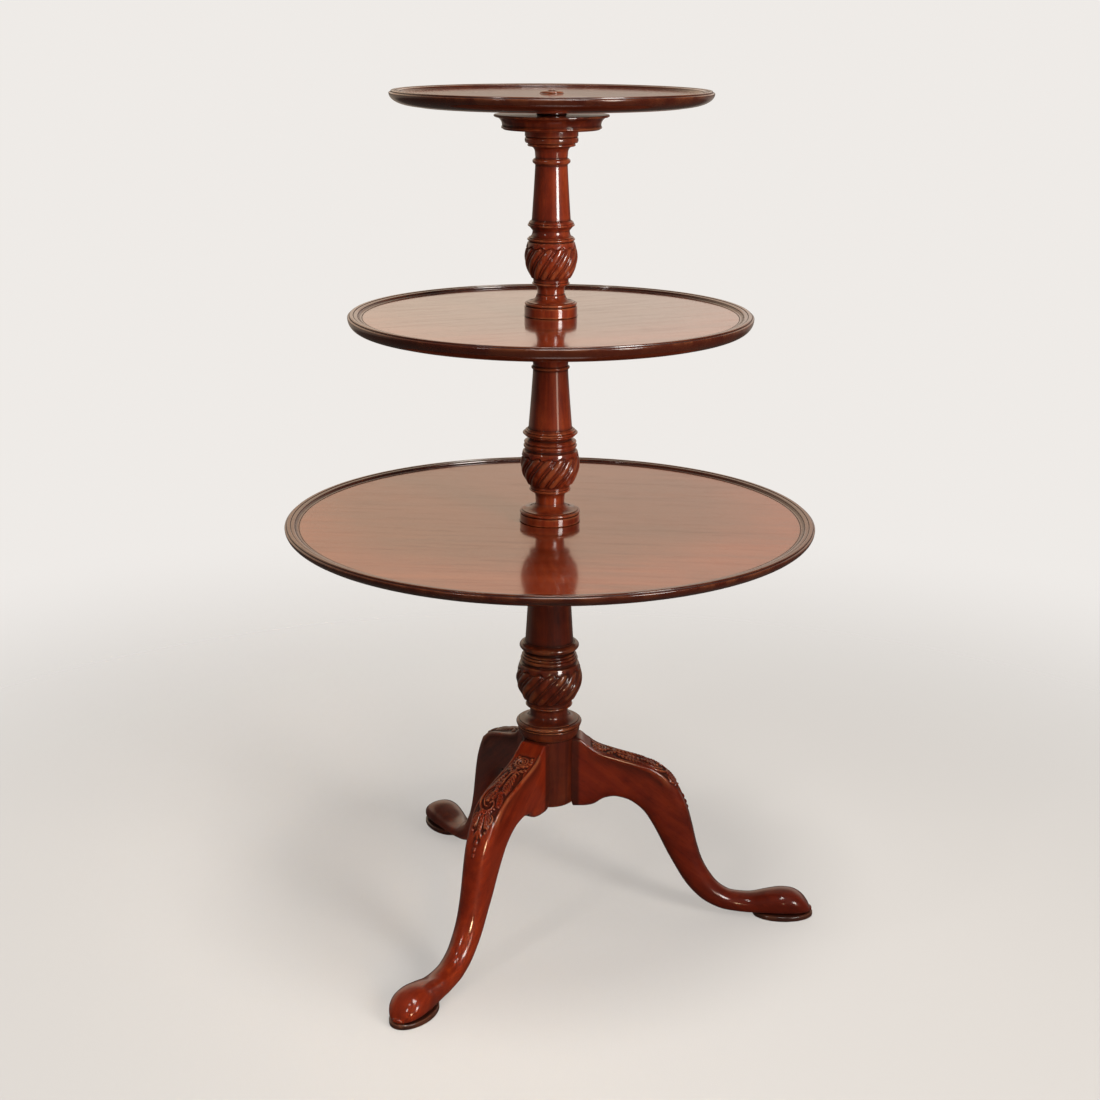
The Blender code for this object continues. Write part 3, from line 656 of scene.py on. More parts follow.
columnSections = {
    # heights of the foot, of the head and of the spigot's top; then mouldings from the head down
    "lower": {
        "foot": 162.0,
        "head": 485.4,
        "spigotTop": 542.0,
        "capital": [
            (36.0, 6.2), (35.0, 0.1), (35.0, 0.6), (34.2, 0.1), ("bulge", 35.4, 3.2), (32.0, 0.2), (32.0, 0.5),
            (30.4, 0.1), ("bulge", 31.3, 1.6), (29.6, 0.2), ("flatFirst", 25.2, 10.6), (25.1, 6.2), (26.4, 0.1),
            (26.4, 0.5), (26.6, 0.1), ("bulge", 29.0, 3.6), (26.4, 0.1), (26.4, 0.5), (25.2, 0.2),
        ],
        "shaftFoot": 29.8,
        "rings": [
            ("flatLast", 30.8, 0.8), (31.0, 0.1), (31.0, 0.7), ("bulge", 36.9, 9.0), (29.4, 0.2), (28.2, 1.6),
            (27.8, 0.1), (27.8, 1.7), (31.0, 0.2), ("bulge", 32.6, 2.4), (31.6, 0.1), (31.6, 0.3), (32.2, 0.1),
            ("bulge", 34.2, 3.2), (33.0, 0.1), (33.0, 0.3), (33.6, 0.1), ("bulge", 35.5, 4.2), (33.4, 0.1),
            (33.4, 0.8), (33.0, 0.1), (33.0, 0.6), ("flatLast", 36.6, 2.0),
        ],
        "knop": {"head": 36.8, "peak": 41.2, "foot": 28.2, "height": 52.8, "twist": 70.0, "depth": 2.1},
        "base": [
            (27.2, 0.3), (27.2, 0.4), (27.6, 0.1), ("bulge", 29.2, 2.6), (26.8, 0.1), (26.8, 0.7),
            ("flatFirst", 23.6, 5.4), (23.4, 4.4), ("flatLast", 36.6, 7.4), (37.0, 0.5), (36.4, 0.2), (36.6, 0.3),
            (38.0, 0.1), ("bulge", 41.0, 5.4), (38.2, 0.1), (38.2, 0.6), (39.0, 0.1), ("bulge", 39.7, 1.4),
            (38.6, 0.1), (38.6, 0.6), ("flatLast", 33.6, 11.6), (33.5, 0.6), (33.5, 86.0), (0.0, 0.0),
        ],
    },
    "middle": {
        "foot": 526.3,
        "head": 735.4,
        "spigotTop": 792.0,
        "capital": [
            (32.0, 3.6), (31.0, 0.1), (31.0, 0.5), (30.4, 0.1), ("bulge", 31.4, 2.6), (28.6, 0.2), (28.6, 0.5),
            (27.2, 0.1), ("bulge", 28.0, 1.2), (26.4, 0.1), ("flatFirst", 20.9, 8.0), (20.8, 1.8), (21.6, 0.1),
            ("bulge", 22.9, 3.2), (20.9, 0.3),
        ],
        "shaftFoot": 26.2,
        "rings": [
            ("flatLast", 27.8, 1.6), (28.0, 0.1), (28.0, 0.7), ("flatFirst", 30.4, 2.2), (29.8, 0.1), (29.8, 0.3),
            ("bulge", 33.0, 3.6), (29.4, 0.2), ("bulge", 30.3, 1.6), (25.6, 2.8), (24.6, 0.2), (24.6, 1.2),
            (28.6, 0.8), (29.0, 0.1), (29.0, 0.4), ("bulge", 31.4, 3.6), (29.8, 0.1), (29.8, 0.5), (30.2, 0.1),
            ("bulge", 32.1, 4.4), (30.6, 0.1), (30.6, 0.9), (29.8, 0.2), (29.8, 1.0), ("flatLast", 32.8, 1.9),
        ],
        "knop": {"head": 33.0, "peak": 35.7, "foot": 24.0, "height": 45.8, "twist": 62.0, "depth": 1.9},
        "base": [
            (23.0, 0.3), (23.0, 0.4), (23.4, 0.1), ("bulge", 25.0, 2.8), (22.8, 0.1), (22.8, 0.8),
            ("flatFirst", 17.8, 7.2), (17.5, 6.9), ("flatLast", 33.4, 8.0), (33.8, 0.5), (33.2, 0.2), (33.4, 0.3),
            (34.6, 0.1), ("bulge", 36.6, 3.7), (34.4, 0.1), (34.4, 0.9), (35.6, 0.1), ("flatFirst", 36.3, 0.7),
            (36.3, 7.4), ("flatLast", 35.6, 1.0), (boreRadius, 0.0), (boreRadius, -16.0), (0.0, 0.0),
        ],
    },
    "upper": {
        "foot": 776.3,
        "head": 990.4,
        "spigotTop": 1030.7,
        "capital": [
            (30.8, 7.0), (29.9, 0.2), (29.9, 0.5), (29.5, 0.1), ("bulge", 31.0, 6.6), (27.6, 0.3), (27.6, 0.6),
            (26.4, 0.1), ("bulge", 27.8, 3.0), (24.8, 0.2), ("flatFirst", 19.2, 7.0), (18.7, 6.1), (19.6, 0.1),
            (19.6, 0.6), (20.0, 0.1), ("bulge", 22.0, 5.4), (19.6, 0.1), (19.6, 0.8), (18.8, 0.3),
        ],
        "shaftFoot": 22.7,
        "rings": [
            ("flatLast", 24.4, 1.6), (24.6, 0.1), (24.6, 0.7), ("flatFirst", 26.3, 2.2), (25.9, 0.1), (25.9, 0.3),
            ("bulge", 27.4, 3.0), (25.6, 0.2), (22.4, 4.0), (21.8, 0.2), (21.8, 1.0), ("flatLast", 26.2, 7.0),
            (26.2, 0.1), (26.2, 0.5), (25.6, 0.1), (25.6, 0.2), ("bulge", 27.9, 3.4), (25.6, 0.2), (25.6, 0.9),
            (27.2, 0.2),
        ],
        "knop": {"head": 27.4, "peak": 31.2, "foot": 20.8, "height": 46.3, "twist": 62.0, "depth": 1.7},
        "base": [
            (20.0, 0.3), (20.0, 0.4), (20.6, 0.1), ("bulge", 22.1, 2.4), (20.0, 0.1), (20.0, 0.7),
            ("flatFirst", 16.2, 5.0), (16.0, 6.0), (17.2, 0.1), (17.2, 0.8), ("flatLast", 27.8, 7.4), (28.1, 0.4),
            (27.6, 0.2), (27.8, 0.2), (28.9, 0.1), ("bulge", 30.8, 3.4), (29.0, 0.1), (29.0, 0.9), (30.4, 0.1),
            ("flatFirst", 31.2, 0.7), (31.2, 9.9), ("flatLast", 30.5, 1.0), (boreRadius, 0.0), (boreRadius, -16.0),
            (0.0, 0.0),
        ],
    },
}
gadroons = {
    "count": 14,
    "lobeShare": 0.72,
    "reedHeight": 0.62,
    "topEnd": 0.885,
    "footEnd": 0.075,
    "bow": 0.055,
    "lip": 0.03,
    "lobePower": 2.6,
    "shoulder": (0.96, 0.012, 0.042),  # how proud the wood beyond the scallops is, and where it rises
    "neck": (0.45, 0.03, 0.07),  # the same at the knop's foot
    "face": (0.7, 0.45, 0.95),  # how much a lobe's face is lightened, for wear and a painted sheen, and where on the lobe
    "margin": 0.01,
    "knopPeak": 0.61,
    "knopSteps": 60,
    "turns": 168,
}
shaft = {"steps": 24, "taper": 1.12}
underTray = {"shade": 0.42, "heights": (235.0, 300.0)}  # painted shadow under the lower tray, with some dust, low on the pedestal
dovetail = {"mouth": 37.5, "back": 19.2, "neckAt": 33.5, "neck": 14.6, "flare": 6 / 14, "top": 230.3, "foot": 158.0}


def knopOutline(knop, foot):
    # pear-shaped, fullest above its middle
    points = []
    peak, steps = gadroons["knopPeak"], gadroons["knopSteps"]
    for index in range(steps + 1):
        share = 1 - index / steps
        if share > peak:
            swell, end = math.cos(math.pi / 2 * (share - peak) / (1 - peak)), knop["head"]
        else:
            swell, end = math.sin(math.pi / 2 * share / peak), knop["foot"]
        points.append((end + (knop["peak"] - end) * swell, foot + knop["height"] * share))
    return points


def gadroonRelief(knop, foot):
    # slanting lobes with a thin reed in each groove between them, and scalloped ends
    def carve(angles, height):
        share = (height - foot) / knop["height"]
        if not 0 < share < 1:
            return np.zeros((3, len(angles)))
        slanted = angles - math.radians(knop["twist"]) * share
        pitch = np.mod(slanted * gadroons["count"] / math.tau, 1.0)
        lobeShare, lip = gadroons["lobeShare"], gadroons["lip"]
        (proudest, *shoulder), (lowest, *neck) = gadroons["shoulder"], gadroons["neck"]
        worn, *lobeFace = gadroons["face"]
        across = pitch / lobeShare * 2 - 1
        between = (pitch - lobeShare) / (1 - lobeShare) * 2 - 1
        inLobe = np.abs(across) <= 1
        lobe = np.where(inLobe, 1 - np.abs(across) ** gadroons["lobePower"], 0)
        reed = np.where(inLobe, 0, gadroons["reedHeight"] * (1 - between ** 2))
        bow = gadroons["bow"] * np.where(inLobe, across ** 2, 1.0)
        scallop = gadroons["topEnd"] - bow
        inside = rise(scallop - share, 0, lip) * rise(share - gadroons["footEnd"] - bow * 0.8, 0, lip)
        carved = np.maximum(lobe, reed) * inside
        margin = within(share, (0.0, lip), (1 - lip, 1.0))
        beyond = np.maximum(proudest * rise(share - scallop, *shoulder), lowest * (1 - rise(share, *neck)))
        proud = np.maximum(carved, beyond)
        # wear and a painted sheen on each lobe's face
        face = worn * rise(lobe, *lobeFace) * inside
        # the grooves between lobes get grime and painted shade, and the lobes' faces wear and a painted sheen
        return -knop["depth"] * (1 - proud) * margin, (1 - np.maximum(proud, 0.25)) ** 1.6 * margin, face
    return carve, foot + gadroons["margin"], foot + knop["height"] - gadroons["margin"]


def columnOutline(section):
    head, spigotTop, capital = section["head"], section["spigotTop"], section["capital"]
    outline = [(0.0, spigotTop), (spigotRadius, spigotTop), (spigotRadius, head), (capital[0][0], head)]
    mould(outline, capital)
    knopFoot = section["foot"] + dropOf([step for step in section["base"] if step[-1] > 0])
    shaftFoot = knopFoot + section["knop"]["height"] + dropOf(section["rings"])
    headRadius, headHeight = outline[-1]
    for index in range(1, shaft["steps"] + 1):
        share = index / shaft["steps"]
        radius = headRadius + (section["shaftFoot"] - headRadius) * share ** shaft["taper"]
        outline.append((radius, headHeight + (shaftFoot - headHeight) * share))
    mould(outline, section["rings"])
    outline += knopOutline(section["knop"], knopFoot)[1:]
    mould(outline, section["base"])
    return outline, knopFoot


def slotCorner(outer, side, upper):
    # the slot that a leg's tongue slides into is open at the hub's side and foot
    out = dovetail["mouth"] if outer > 0 else dovetail["back"]
    wide = dovetail["neck"] + (dovetail["neckAt"] - out) * dovetail["flare"]
    return out, math.copysign(wide / 2, side), dovetail["top"] if upper > 0 else dovetail["foot"]


def makeColumn():
    # painted shadow, with some dust, darker towards the pedestal's foot under the lower tray
    paintedUnderTrayShade = lambda radius, height: underTray["shade"] * (1 - rise(height, *underTray["heights"]))
    for name, section in columnSections.items():
        outline, knopFoot = columnOutline(section)
        relief = gadroonRelief(section["knop"], knopFoot)
        piece = turnedPiece(name + "ColumnTurned", soften(outline), gadroons["turns"], relief=relief, paintedShade=paintedUnderTrayShade)
        if name == "lower":
            cutAway(piece, [cutterBlock("slot", slotCorner, aboutColumn(azimuth)) for azimuth in (0, 120, 240)])
        settle(piece, name + " column mahogany", name + "_column")


makeColumn()
print("column: three turned sections with slanting gadroons")


bearings = {
    # collar foot and radius, washer foot; the tray lies 0.3 mm above the washer
    "lower": {"foot": 485.7, "radius": 80.0, "washer": 510.5},
    "middle": {"foot": 735.7, "radius": 70.0, "washer": 760.5},
    "top": {"foot": 990.7, "radius": 66.5, "washer": 1015.5},
}
collar = {
    "boss": [(boreRadius, 24.5), (17.0, 24.5), (17.0, 17.6), (17.8, 17.0)],  # heights over the collar's foot
    "top": 17.0,
    "edgeInset": 1.0,
    "edge": [
        ("flatFirst", 0.0, 0.9), (0.0, 0.8), ("flatLast", -0.6, 0.6), (-1.6, 0.1), (-1.6, 0.5),
        ("flatFirst", -9.6, 9.6), (-9.0, 0.1), (-9.0, 0.5), (-9.4, 0.1), ("bulge", -8.6, 2.4), (-10.4, 0.1),
        ("flatLast", -12.0, 1.3),
    ],
    "turns": 144,
}
washer = {
    "outline": [(boreRadius, 1.2), (19.2, 1.2), (19.5, 0.9), (19.5, 0.3), (19.2, 0.0), (boreRadius, 0.0)],
    "turns": 72,
}
cap = {
    "top": [(0.0, 1035.3), (1.8, 1035.2)],
    "side": [
        ("flatFirst", 4.4, 0.9), (4.7, 0.2), (5.6, 0.0), ("flatFirst", 12.4, 1.2), (12.8, 0.1), (12.8, 0.3),
        (13.2, 0.0), ("bulge", 13.7, 1.2), (4.0, 0.0), (4.0, 12.0), (0.0, 0.0),
    ],
    "softening": 0.1,
    "turns": 72,
}


def makeBearings():
    for tier, size in bearings.items():
        foot, radius = size["foot"], size["radius"]
        outline = [(reach, foot + height) for reach, height in collar["boss"]]
        outline.append((radius - collar["edgeInset"], foot + collar["top"]))
        mould(outline, besides(radius, collar["edge"]) + [(boreRadius, 0.0)])
        disc = turnedPiece(tier + "CollarTurned", soften(outline, closed=True), collar["turns"], closed=True)
        settle(disc, "middle column mahogany", tier + "_collar")
        outline = [(reach, size["washer"] + height) for reach, height in washer["outline"]]
        ring = turnedPiece(tier + "WasherCut", outline, washer["turns"], closed=True)
        settle(ring, "oiled leather", tier + "_washer")


def makeCap():
    # the turned button that holds the top tray, with its stem below
    outline = mould(list(cap["top"]), cap["side"])
    button = turnedPiece("topCapTurned", soften(outline, cap["softening"]), cap["turns"])
    settle(button, "lower column mahogany", "top_cap")


makeBearings()
makeCap()
print("bearings: collars, washers and cap")


trays = {
    "lower": {"rim": 530.0, "radius": 320.0, "seat": 37.1, "ovolo": 28.6, "turns": 300},
    "middle": {"rim": 780.0, "radius": 239.0, "seat": 32.0, "ovolo": 14.0, "turns": 256},
    "top": {"rim": 1035.0, "radius": 186.0, "seat": 14.5, "ovolo": 28.6, "turns": 216},
}
dish = {
    "seatDrop": 4.4,
    "floorDrop": 4.0,
    "rimFoot": 17.6,
    "rim": [
        (-17.5, 0.55), (-16.9, 0.0), (-16.8, -0.75), ("flatFirst", -12.8, -1.9), (-12.7, 0.45), (-12.1, 0.0),
        (-12.0, -0.75), ("flatLast", -7.6, -0.9), (-7.5, 0.4), (-6.9, 0.0), (-6.8, -0.7), ("flatLast", -5.2, -0.4),
        (-4.0, 0.0), ("flatFirst", -2.5, 0.9), (-2.4, 0.9), (-2.0, 0.1), ("flatFirst", 0.0, 1.4),
    ],
    "under": [("flatLast", 0.0, 14.0), (-0.6, 0.1), (-0.8, 0.6)],
    # where the painted shade on the rim starts, inside the rim's foot, and how far it takes to come in
    "paintedShadeFrom": 18.5,
    "paintedShadeOver": 1.5,
}


def makeTrays():
    for tier, size in trays.items():
        rim, radius, seat = size["rim"], size["radius"], size["seat"]
        seatHeight, floorHeight = rim - dish["seatDrop"], rim - dish["floorDrop"]
        outline = [(boreRadius, seatHeight), (seat, seatHeight), (seat, floorHeight)]
        outline.append((radius - dish["rimFoot"], floorHeight))
        mould(outline, besides(radius, dish["rim"]) + besides(radius - size["ovolo"], dish["under"]))
        mould(outline, [(boreRadius, 0.0)])
        # painted shade over the whole rim
        dark = lambda reach, height, start=radius - dish["paintedShadeFrom"]: rise(reach, start, start + dish["paintedShadeOver"])
        tray = turnedPiece(tier + "TrayTurned", soften(outline, closed=True), size["turns"], closed=True, paintedShade=dark)
        settle(tray, tier + " tray mahogany", tier + "_tray", tier + "_tier")


makeTrays()
print("trays: three dished trays with moulded rims")


legStations = [
    # top edge out and up, lower edge out and up, width, squareness above and below (2 is an ellipse)
    (35.0, 247.7, 35.0, 154.5, 36.0, 16.0, 6.0),
    (39.5, 246.9, 39.5, 154.5, 36.0, 16.0, 6.0),
    (44.0, 243.6, 45.0, 154.5, 36.0, 16.0, 6.0),
    (48.8, 239.0, 52.0, 155.6, 36.0, 16.0, 6.0),
    (55.0, 233.6, 58.0, 157.5, 36.0, 16.0, 6.0),
    (65.0, 228.0, 70.0, 165.5, 36.0, 16.0, 6.0),
    (85.0, 221.2, 83.0, 168.0, 36.0, 16.0, 6.0),
    (110.0, 213.9, 98.0, 164.5, 36.0, 14.0, 5.5),
    (132.5, 205.6, 110.5, 157.0, 36.0, 11.0, 5.0),
    (151.0, 192.6, 122.0, 145.5, 36.0, 6.6, 4.5),
    (165.2, 175.3, 132.0, 129.2, 35.5, 4.8, 4.0),
    (175.9, 152.4, 141.8, 110.0, 34.5, 3.7, 3.6),
    (183.2, 127.3, 151.5, 89.8, 33.8, 2.9, 3.2),
    (189.3, 102.0, 161.8, 70.5, 33.0, 2.5, 2.7),
    (196.5, 79.0, 172.8, 51.3, 32.6, 2.3, 2.4),
    (207.0, 59.0, 187.0, 33.0, 32.4, 2.1, 2.2),
    (221.0, 42.0, 205.0, 18.5, 32.2, 2.0, 2.3),
    (238.0, 32.4, 228.0, 10.0, 32.5, 2.0, 2.8),
    (260.0, 30.0, 258.0, 7.3, 34.8, 2.0, 3.6),
    (282.0, 33.9, 282.0, 7.3, 40.2, 2.05, 4.0),
    (301.0, 36.2, 301.5, 7.3, 44.5, 2.1, 4.0),
    (313.0, 35.2, 314.0, 7.3, 44.0, 2.1, 4.0),
    (322.5, 31.4, 324.0, 7.3, 40.0, 2.1, 3.8),
    (330.0, 25.2, 331.5, 7.3, 32.5, 2.1, 3.4),
    (334.6, 18.6, 336.0, 7.3, 22.8, 2.1, 2.8),
    (337.4, 13.0, 338.4, 7.3, 12.5, 2.1, 2.6),
]
leg = {
    "hub": 33.8,
    "lowest": 7.3,
    "carvedTo": 184.0,  # mm along the top edge, where 48 is 86 out from the axis
    "markAt": (86.0, 48.0),
    "fineStep": 0.55,
    "coarseStep": 1.3,
    "samples": 2600,
    "smoothing": 16.0,
    "keptStart": (1, 12),  # the ends stay as the stations say
    "keptEnd": (7, 1),
    "topPoints": 81,
    "sidePoints": 15,
    "lowPoints": 17,
    "tongueBack": 19.5,
    "tongueNeckHalf": 7.0,
    "tongueBackHalf": 10.0,
    "tongueFoot": 162.0,
    "tongueTop": 230.0,
    "tongueSteps": (0.0, 0.25, 0.5, 0.75),
    "toeAngles": (20, 40, 58, 74),
    "toeReach": 2.4,
    "tip": 2.5,
    "jointDirtAndShade": (0.9, 1.0, 5.5),  # dirt and painted shade where the leg meets the hub: how dark it is, and where that fades out
    "sharpAngle": 60,
}


def easedCurve(knots, rows, places):
    # cubic through every row without overshoot
    gaps = np.diff(knots)
    slopes = np.diff(rows, axis=0) / gaps[:, None]
    tangents = np.zeros_like(rows)
    before, after = slopes[:-1], slopes[1:]
    with np.errstate(divide="ignore", invalid="ignore"):
        joined = 2 * before * after / (before + after)
    tangents[1:-1] = np.where(before * after > 0, joined, 0)
    tangents[0], tangents[-1] = slopes[0], slopes[-1]
    index = np.clip(np.searchsorted(knots, places, side="right") - 1, 0, len(gaps) - 1)
    gap = gaps[index][:, None]
    share = ((places - knots[index]) / gaps[index])[:, None]
    square, cube = share ** 2, share ** 3
    return (
        (2 * cube - 3 * square + 1) * rows[index] + (cube - 2 * square + share) * gap * tangents[index]
        + (3 * square - 2 * cube) * rows[index + 1] + (cube - square) * gap * tangents[index + 1]
    )


def blurredBoth(values, spread, crossSpread):
    return blurred(blurred(values, spread), crossSpread, 1)


def smoothPath(points, pieces=7):
    # a soft curve through rows of numbers
    points = np.asarray(points, float)
    padded = np.vstack((2 * points[0] - points[1], points, 2 * points[-1] - points[-2]))
    path = []
    for first, second, third, fourth in zip(padded, padded[1:], padded[2:], padded[3:]):
        for share in np.arange(pieces) / pieces:
            path.append(0.5 * (
                2 * second + (third - first) * share
                + (2 * first - 5 * second + 4 * third - fourth) * share ** 2
                + (3 * second - first - 3 * third + fourth) * share ** 3
            ))
    path.append(points[-1])
    return np.array(path)


def stroke(grid, along, across, points, vein=0.0):
    # raises a rounded or veined ridge along a path of (along, across, half width, height) rows
    path = smoothPath(points)
    low, high = path[:, :2].min(0) - path[:, 2].max(), path[:, :2].max(0) + path[:, 2].max()
    near = (along >= low[0]) & (along <= high[0]) & (across >= low[1]) & (across <= high[1])
    pointAlong, pointAcross = along[near], across[near]
    best = np.zeros(len(pointAlong))
    for start, end in zip(path, path[1:]):
        startAlong, startAcross, startHalf, startHigh = start
        runAlong, runAcross, moreHalf, moreHigh = end - start
        squared = max(runAlong ** 2 + runAcross ** 2, 1e-9)
        share = ((pointAlong - startAlong) * runAlong + (pointAcross - startAcross) * runAcross) / squared
        share = np.clip(share, 0, 1)
        offAlong = pointAlong - startAlong - share * runAlong
        offAcross = pointAcross - startAcross - share * runAcross
        reach = np.hypot(offAlong, offAcross) / np.maximum(startHalf + moreHalf * share, 0.05)
        body = (startHigh + moreHigh * share) * np.sqrt(np.clip(1 - reach ** 2, 0, 1))
        if vein:
            body = body * (1 - vein * np.exp(-(reach / 0.17) ** 2)) * (0.80 + 0.20 * reach)
        best = np.maximum(best, body)
    grid[near] = np.maximum(grid[near], best)


def dot(grid, along, across, place, size, tall):
    reach = np.hypot((along - place[0]) / size[0], (across - place[1]) / size[1])
    np.maximum(grid, tall * np.sqrt(np.clip(1 - reach ** 2, 0, 1)), out=grid)


carving = {
    # rows of (along, across, half width, height) in mm; along runs down the knee from the hub
    "rims": [
        [
            (45.5, 8.0, 0.6, 1.0), (43.0, 3.0, 0.9, 1.9), (46.0, -1.6, 1.0, 2.1), (55, -3.0, 1.0, 2.1),
            (66, -2.4, 0.9, 2.0), (76, -2.2, 0.6, 1.2),
        ],
        [
            (75, -9.0, 0.6, 1.0), (81, -13.0, 1.0, 2.0), (92, -14.3, 1.15, 2.3), (103, -13.0, 1.2, 2.4),
            (111.5, -7.5, 1.2, 2.5), (114.2, 0.2, 1.2, 2.5), (110.5, 5.6, 1.1, 2.3), (103.5, 6.6, 1.0, 2.2),
            (99.2, 3.2, 1.0, 2.1), (102.2, 0.4, 0.8, 2.0),
        ],
        [
            (79, -7.5, 0.5, 0.8), (88, -10.4, 0.7, 1.5), (98, -9.6, 0.7, 1.6), (106.5, -5.0, 0.7, 1.6),
            (107.5, -0.8, 0.6, 1.2),
        ],
        [
            (117, 9.5, 0.6, 1.0), (121, 12.4, 0.9, 1.8), (127, 12.2, 1.0, 1.9), (129.5, 9.2, 0.8, 1.7),
            (126.5, 7.8, 0.6, 1.4),
        ],
        [
            (117, -10.5, 0.6, 1.0), (121.5, -13.2, 0.9, 1.7), (127.5, -12.6, 0.9, 1.8), (129.5, -9.6, 0.8, 1.6),
            (126.8, -8.4, 0.6, 1.3),
        ],
    ],
    # a leaf's spine of (along, across), how far its lobes reach to the right and left, its lobes and height
    "leaves": [
        ([(33, 3.5), (27, 8.4), (19, 9.8), (13.5, 8.6)], 2.6, 2.4, 5, 1.6),
        ([(33, -3.5), (27, -8.4), (19, -9.8), (13.5, -8.6)], 2.4, 2.6, 5, 1.6),
        ([(46, -1.5), (40, -7.0), (34.5, -11.6)], 3.0, 2.6, 3, 1.7),
        ([(46, 0.0), (39, -0.4), (32.5, 0.4)], 3.2, 3.2, 2, 1.7),
        ([(46, 1.5), (40, 7.0), (34.5, 11.6)], 2.6, 3.0, 3, 1.7),
        ([(46, 3.4), (56, 4.2), (66, 5.0), (76, 6.4), (84, 9.0)], 7.0, 3.6, 8, 2.3),
        ([(47, -7.6), (56, -9.4), (66, -11.0), (75, -12.2), (82, -13.4)], 3.4, 3.2, 8, 1.9),
        ([(58, -4.4), (67, -5.4), (75, -4.8), (82, -3.2)], 3.0, 2.6, 4, 1.6),
        ([(80, -1.0), (88, -4.2), (96, -5.2), (101, -4.2)], 3.6, 3.6, 5, 1.8),
        ([(82, 4.4), (90, 7.6), (98, 10.4), (105, 12.0)], 4.2, 3.4, 6, 2.1),
        ([(84, 2.4), (91, 1.6), (96, 0.0)], 2.6, 2.4, 3, 1.5),
        ([(112, -3.6), (119, -6.2), (127, -8.0), (134, -8.6)], 4.2, 4.4, 6, 2.1),
        ([(112, 3.2), (119, 5.6), (127, 7.4), (134, 8.2)], 4.4, 4.2, 6, 2.1),
        ([(114, -0.4), (122, -0.4), (131, -0.2), (138, 0)], 3.4, 3.4, 6, 2.0),
    ],
    "petals": [
        [(137.0, 0, 1.0, 1.4), (142.5, -2.8, 1.8, 1.8), (147.5, -5.0, 0.8, 1.0)],
        [(137.0, 0, 1.0, 1.4), (142.5, 2.8, 1.8, 1.8), (147.5, 5.0, 0.8, 1.0)],
        [(137.0, 0, 1.2, 1.5), (143.5, 0, 2.0, 2.0), (149, 0, 0.9, 1.2)],
    ],
    # place, half sizes and height
    "beads": [
        ((104.5, 10.6), (1.4, 1.4), 1.9), ((108.8, 9.0), (1.5, 1.5), 1.9), ((113.0, 7.6), (1.2, 1.2), 1.7),
        ((139.5, -8.6), (1.5, 1.5), 1.6), ((139.5, 8.0), (1.5, 1.5), 1.6),
        ((153.4, 0.0), (3.8, 2.5), 1.9), ((162.0, 0.0), (3.3, 2.2), 1.7), ((169.4, 0.0), (2.6, 1.8), 1.4),
    ],
    "rosette": {"centre": 22.5, "radius": 8.4, "turns": 2.3, "start": 2.4, "eye": 1.9, "petals": 8, "petalsAt": 4.6},
    # ranges along the knee over which each of these comes in and goes out
    "edgeBead": {"at": 16.6, "half": 1.3, "height": 1.0, "start": (3, 9), "end": (112, 134)},
    "ground": {
        "sunk": 0.55, "stipple": 0.15, "start": (9.5, 13), "end": (146, 160), "half": 11.6, "edge": (-0.8, 0.5),
        "wider": (3.3, 38, 52), "narrower": (9.3, 118, 150),  # by how much, and between which places
    },
    "crown": {"height": 3.3, "half": 17.2, "start": (12, 42), "end": (116, 146)},
    "fades": {"up": (0.35, 0.62), "along": (1.5, 4.0)},
    "cutting": (0.7, 0.8),  # blurs along and across, of the carver's cut and of what lies around it
    "around": (2.6, 3.2),
}


def leafStrokes(spine, right, left, lobes, tall):
    # a fine spine with slanting lobes on both sides, the way a carver veins a leaf
    path = smoothPath([(*place, 0, 0) for place in spine], 12)[:, :2]
    travel = travelAlong(path)
    at = lambda place: np.array([np.interp(place, travel, path[:, axis]) for axis in (0, 1)])
    ribs = path[::6]
    taper = np.linspace(1, 0, len(ribs))
    strokes = [[(*place, 0.55 + 0.25 * share, tall * 0.95) for place, share in zip(ribs, taper)]]
    for lobe in range(lobes):
        share = (lobe + 0.35) / lobes
        start = at(share * travel[-1])
        ahead = at(share * travel[-1] + 0.5) - start
        ahead = ahead / np.hypot(*ahead)
        aside = np.array([-ahead[1], ahead[0]])
        swell = math.sin(math.pi * (0.16 + 0.76 * share))
        for reach, turn in ((right, 1), (left, -1)):
            middle = start + (ahead * 0.75 + aside * turn * 0.46) * reach * swell
            end = start + (ahead * 1.45 + aside * turn * 0.84) * reach * swell
            strokes.append([(*start, 0.8, tall * 0.6), (*middle, 1.45, tall), (*end, 0.8, tall * 0.62)])
    return strokes


def carveRosette(grid, along, across):
    rosette = carving["rosette"]
    centre, spiral = rosette["centre"], []
    for share in np.linspace(0, 1, 40):
        radius = rosette["radius"] * (1 - share) ** 0.85 + 1.0
        angle = math.tau * rosette["turns"] * share + rosette["start"]
        place = (centre - radius * math.cos(angle), radius * math.sin(angle))
        spiral.append((*place, 1.35 - 0.55 * share, 2.3 - 0.4 * share))
    stroke(grid, along, across, spiral)
    dot(grid, along, across, (centre, 0.0), (rosette["eye"], rosette["eye"]), 2.5)
    for petal in range(rosette["petals"]):
        angle = math.tau * (petal + 0.5) / rosette["petals"]
        place = (centre + rosette["petalsAt"] * math.cos(angle), rosette["petalsAt"] * math.sin(angle))
        dot(grid, along, across, place, (1.5, 1.5), 1.3)


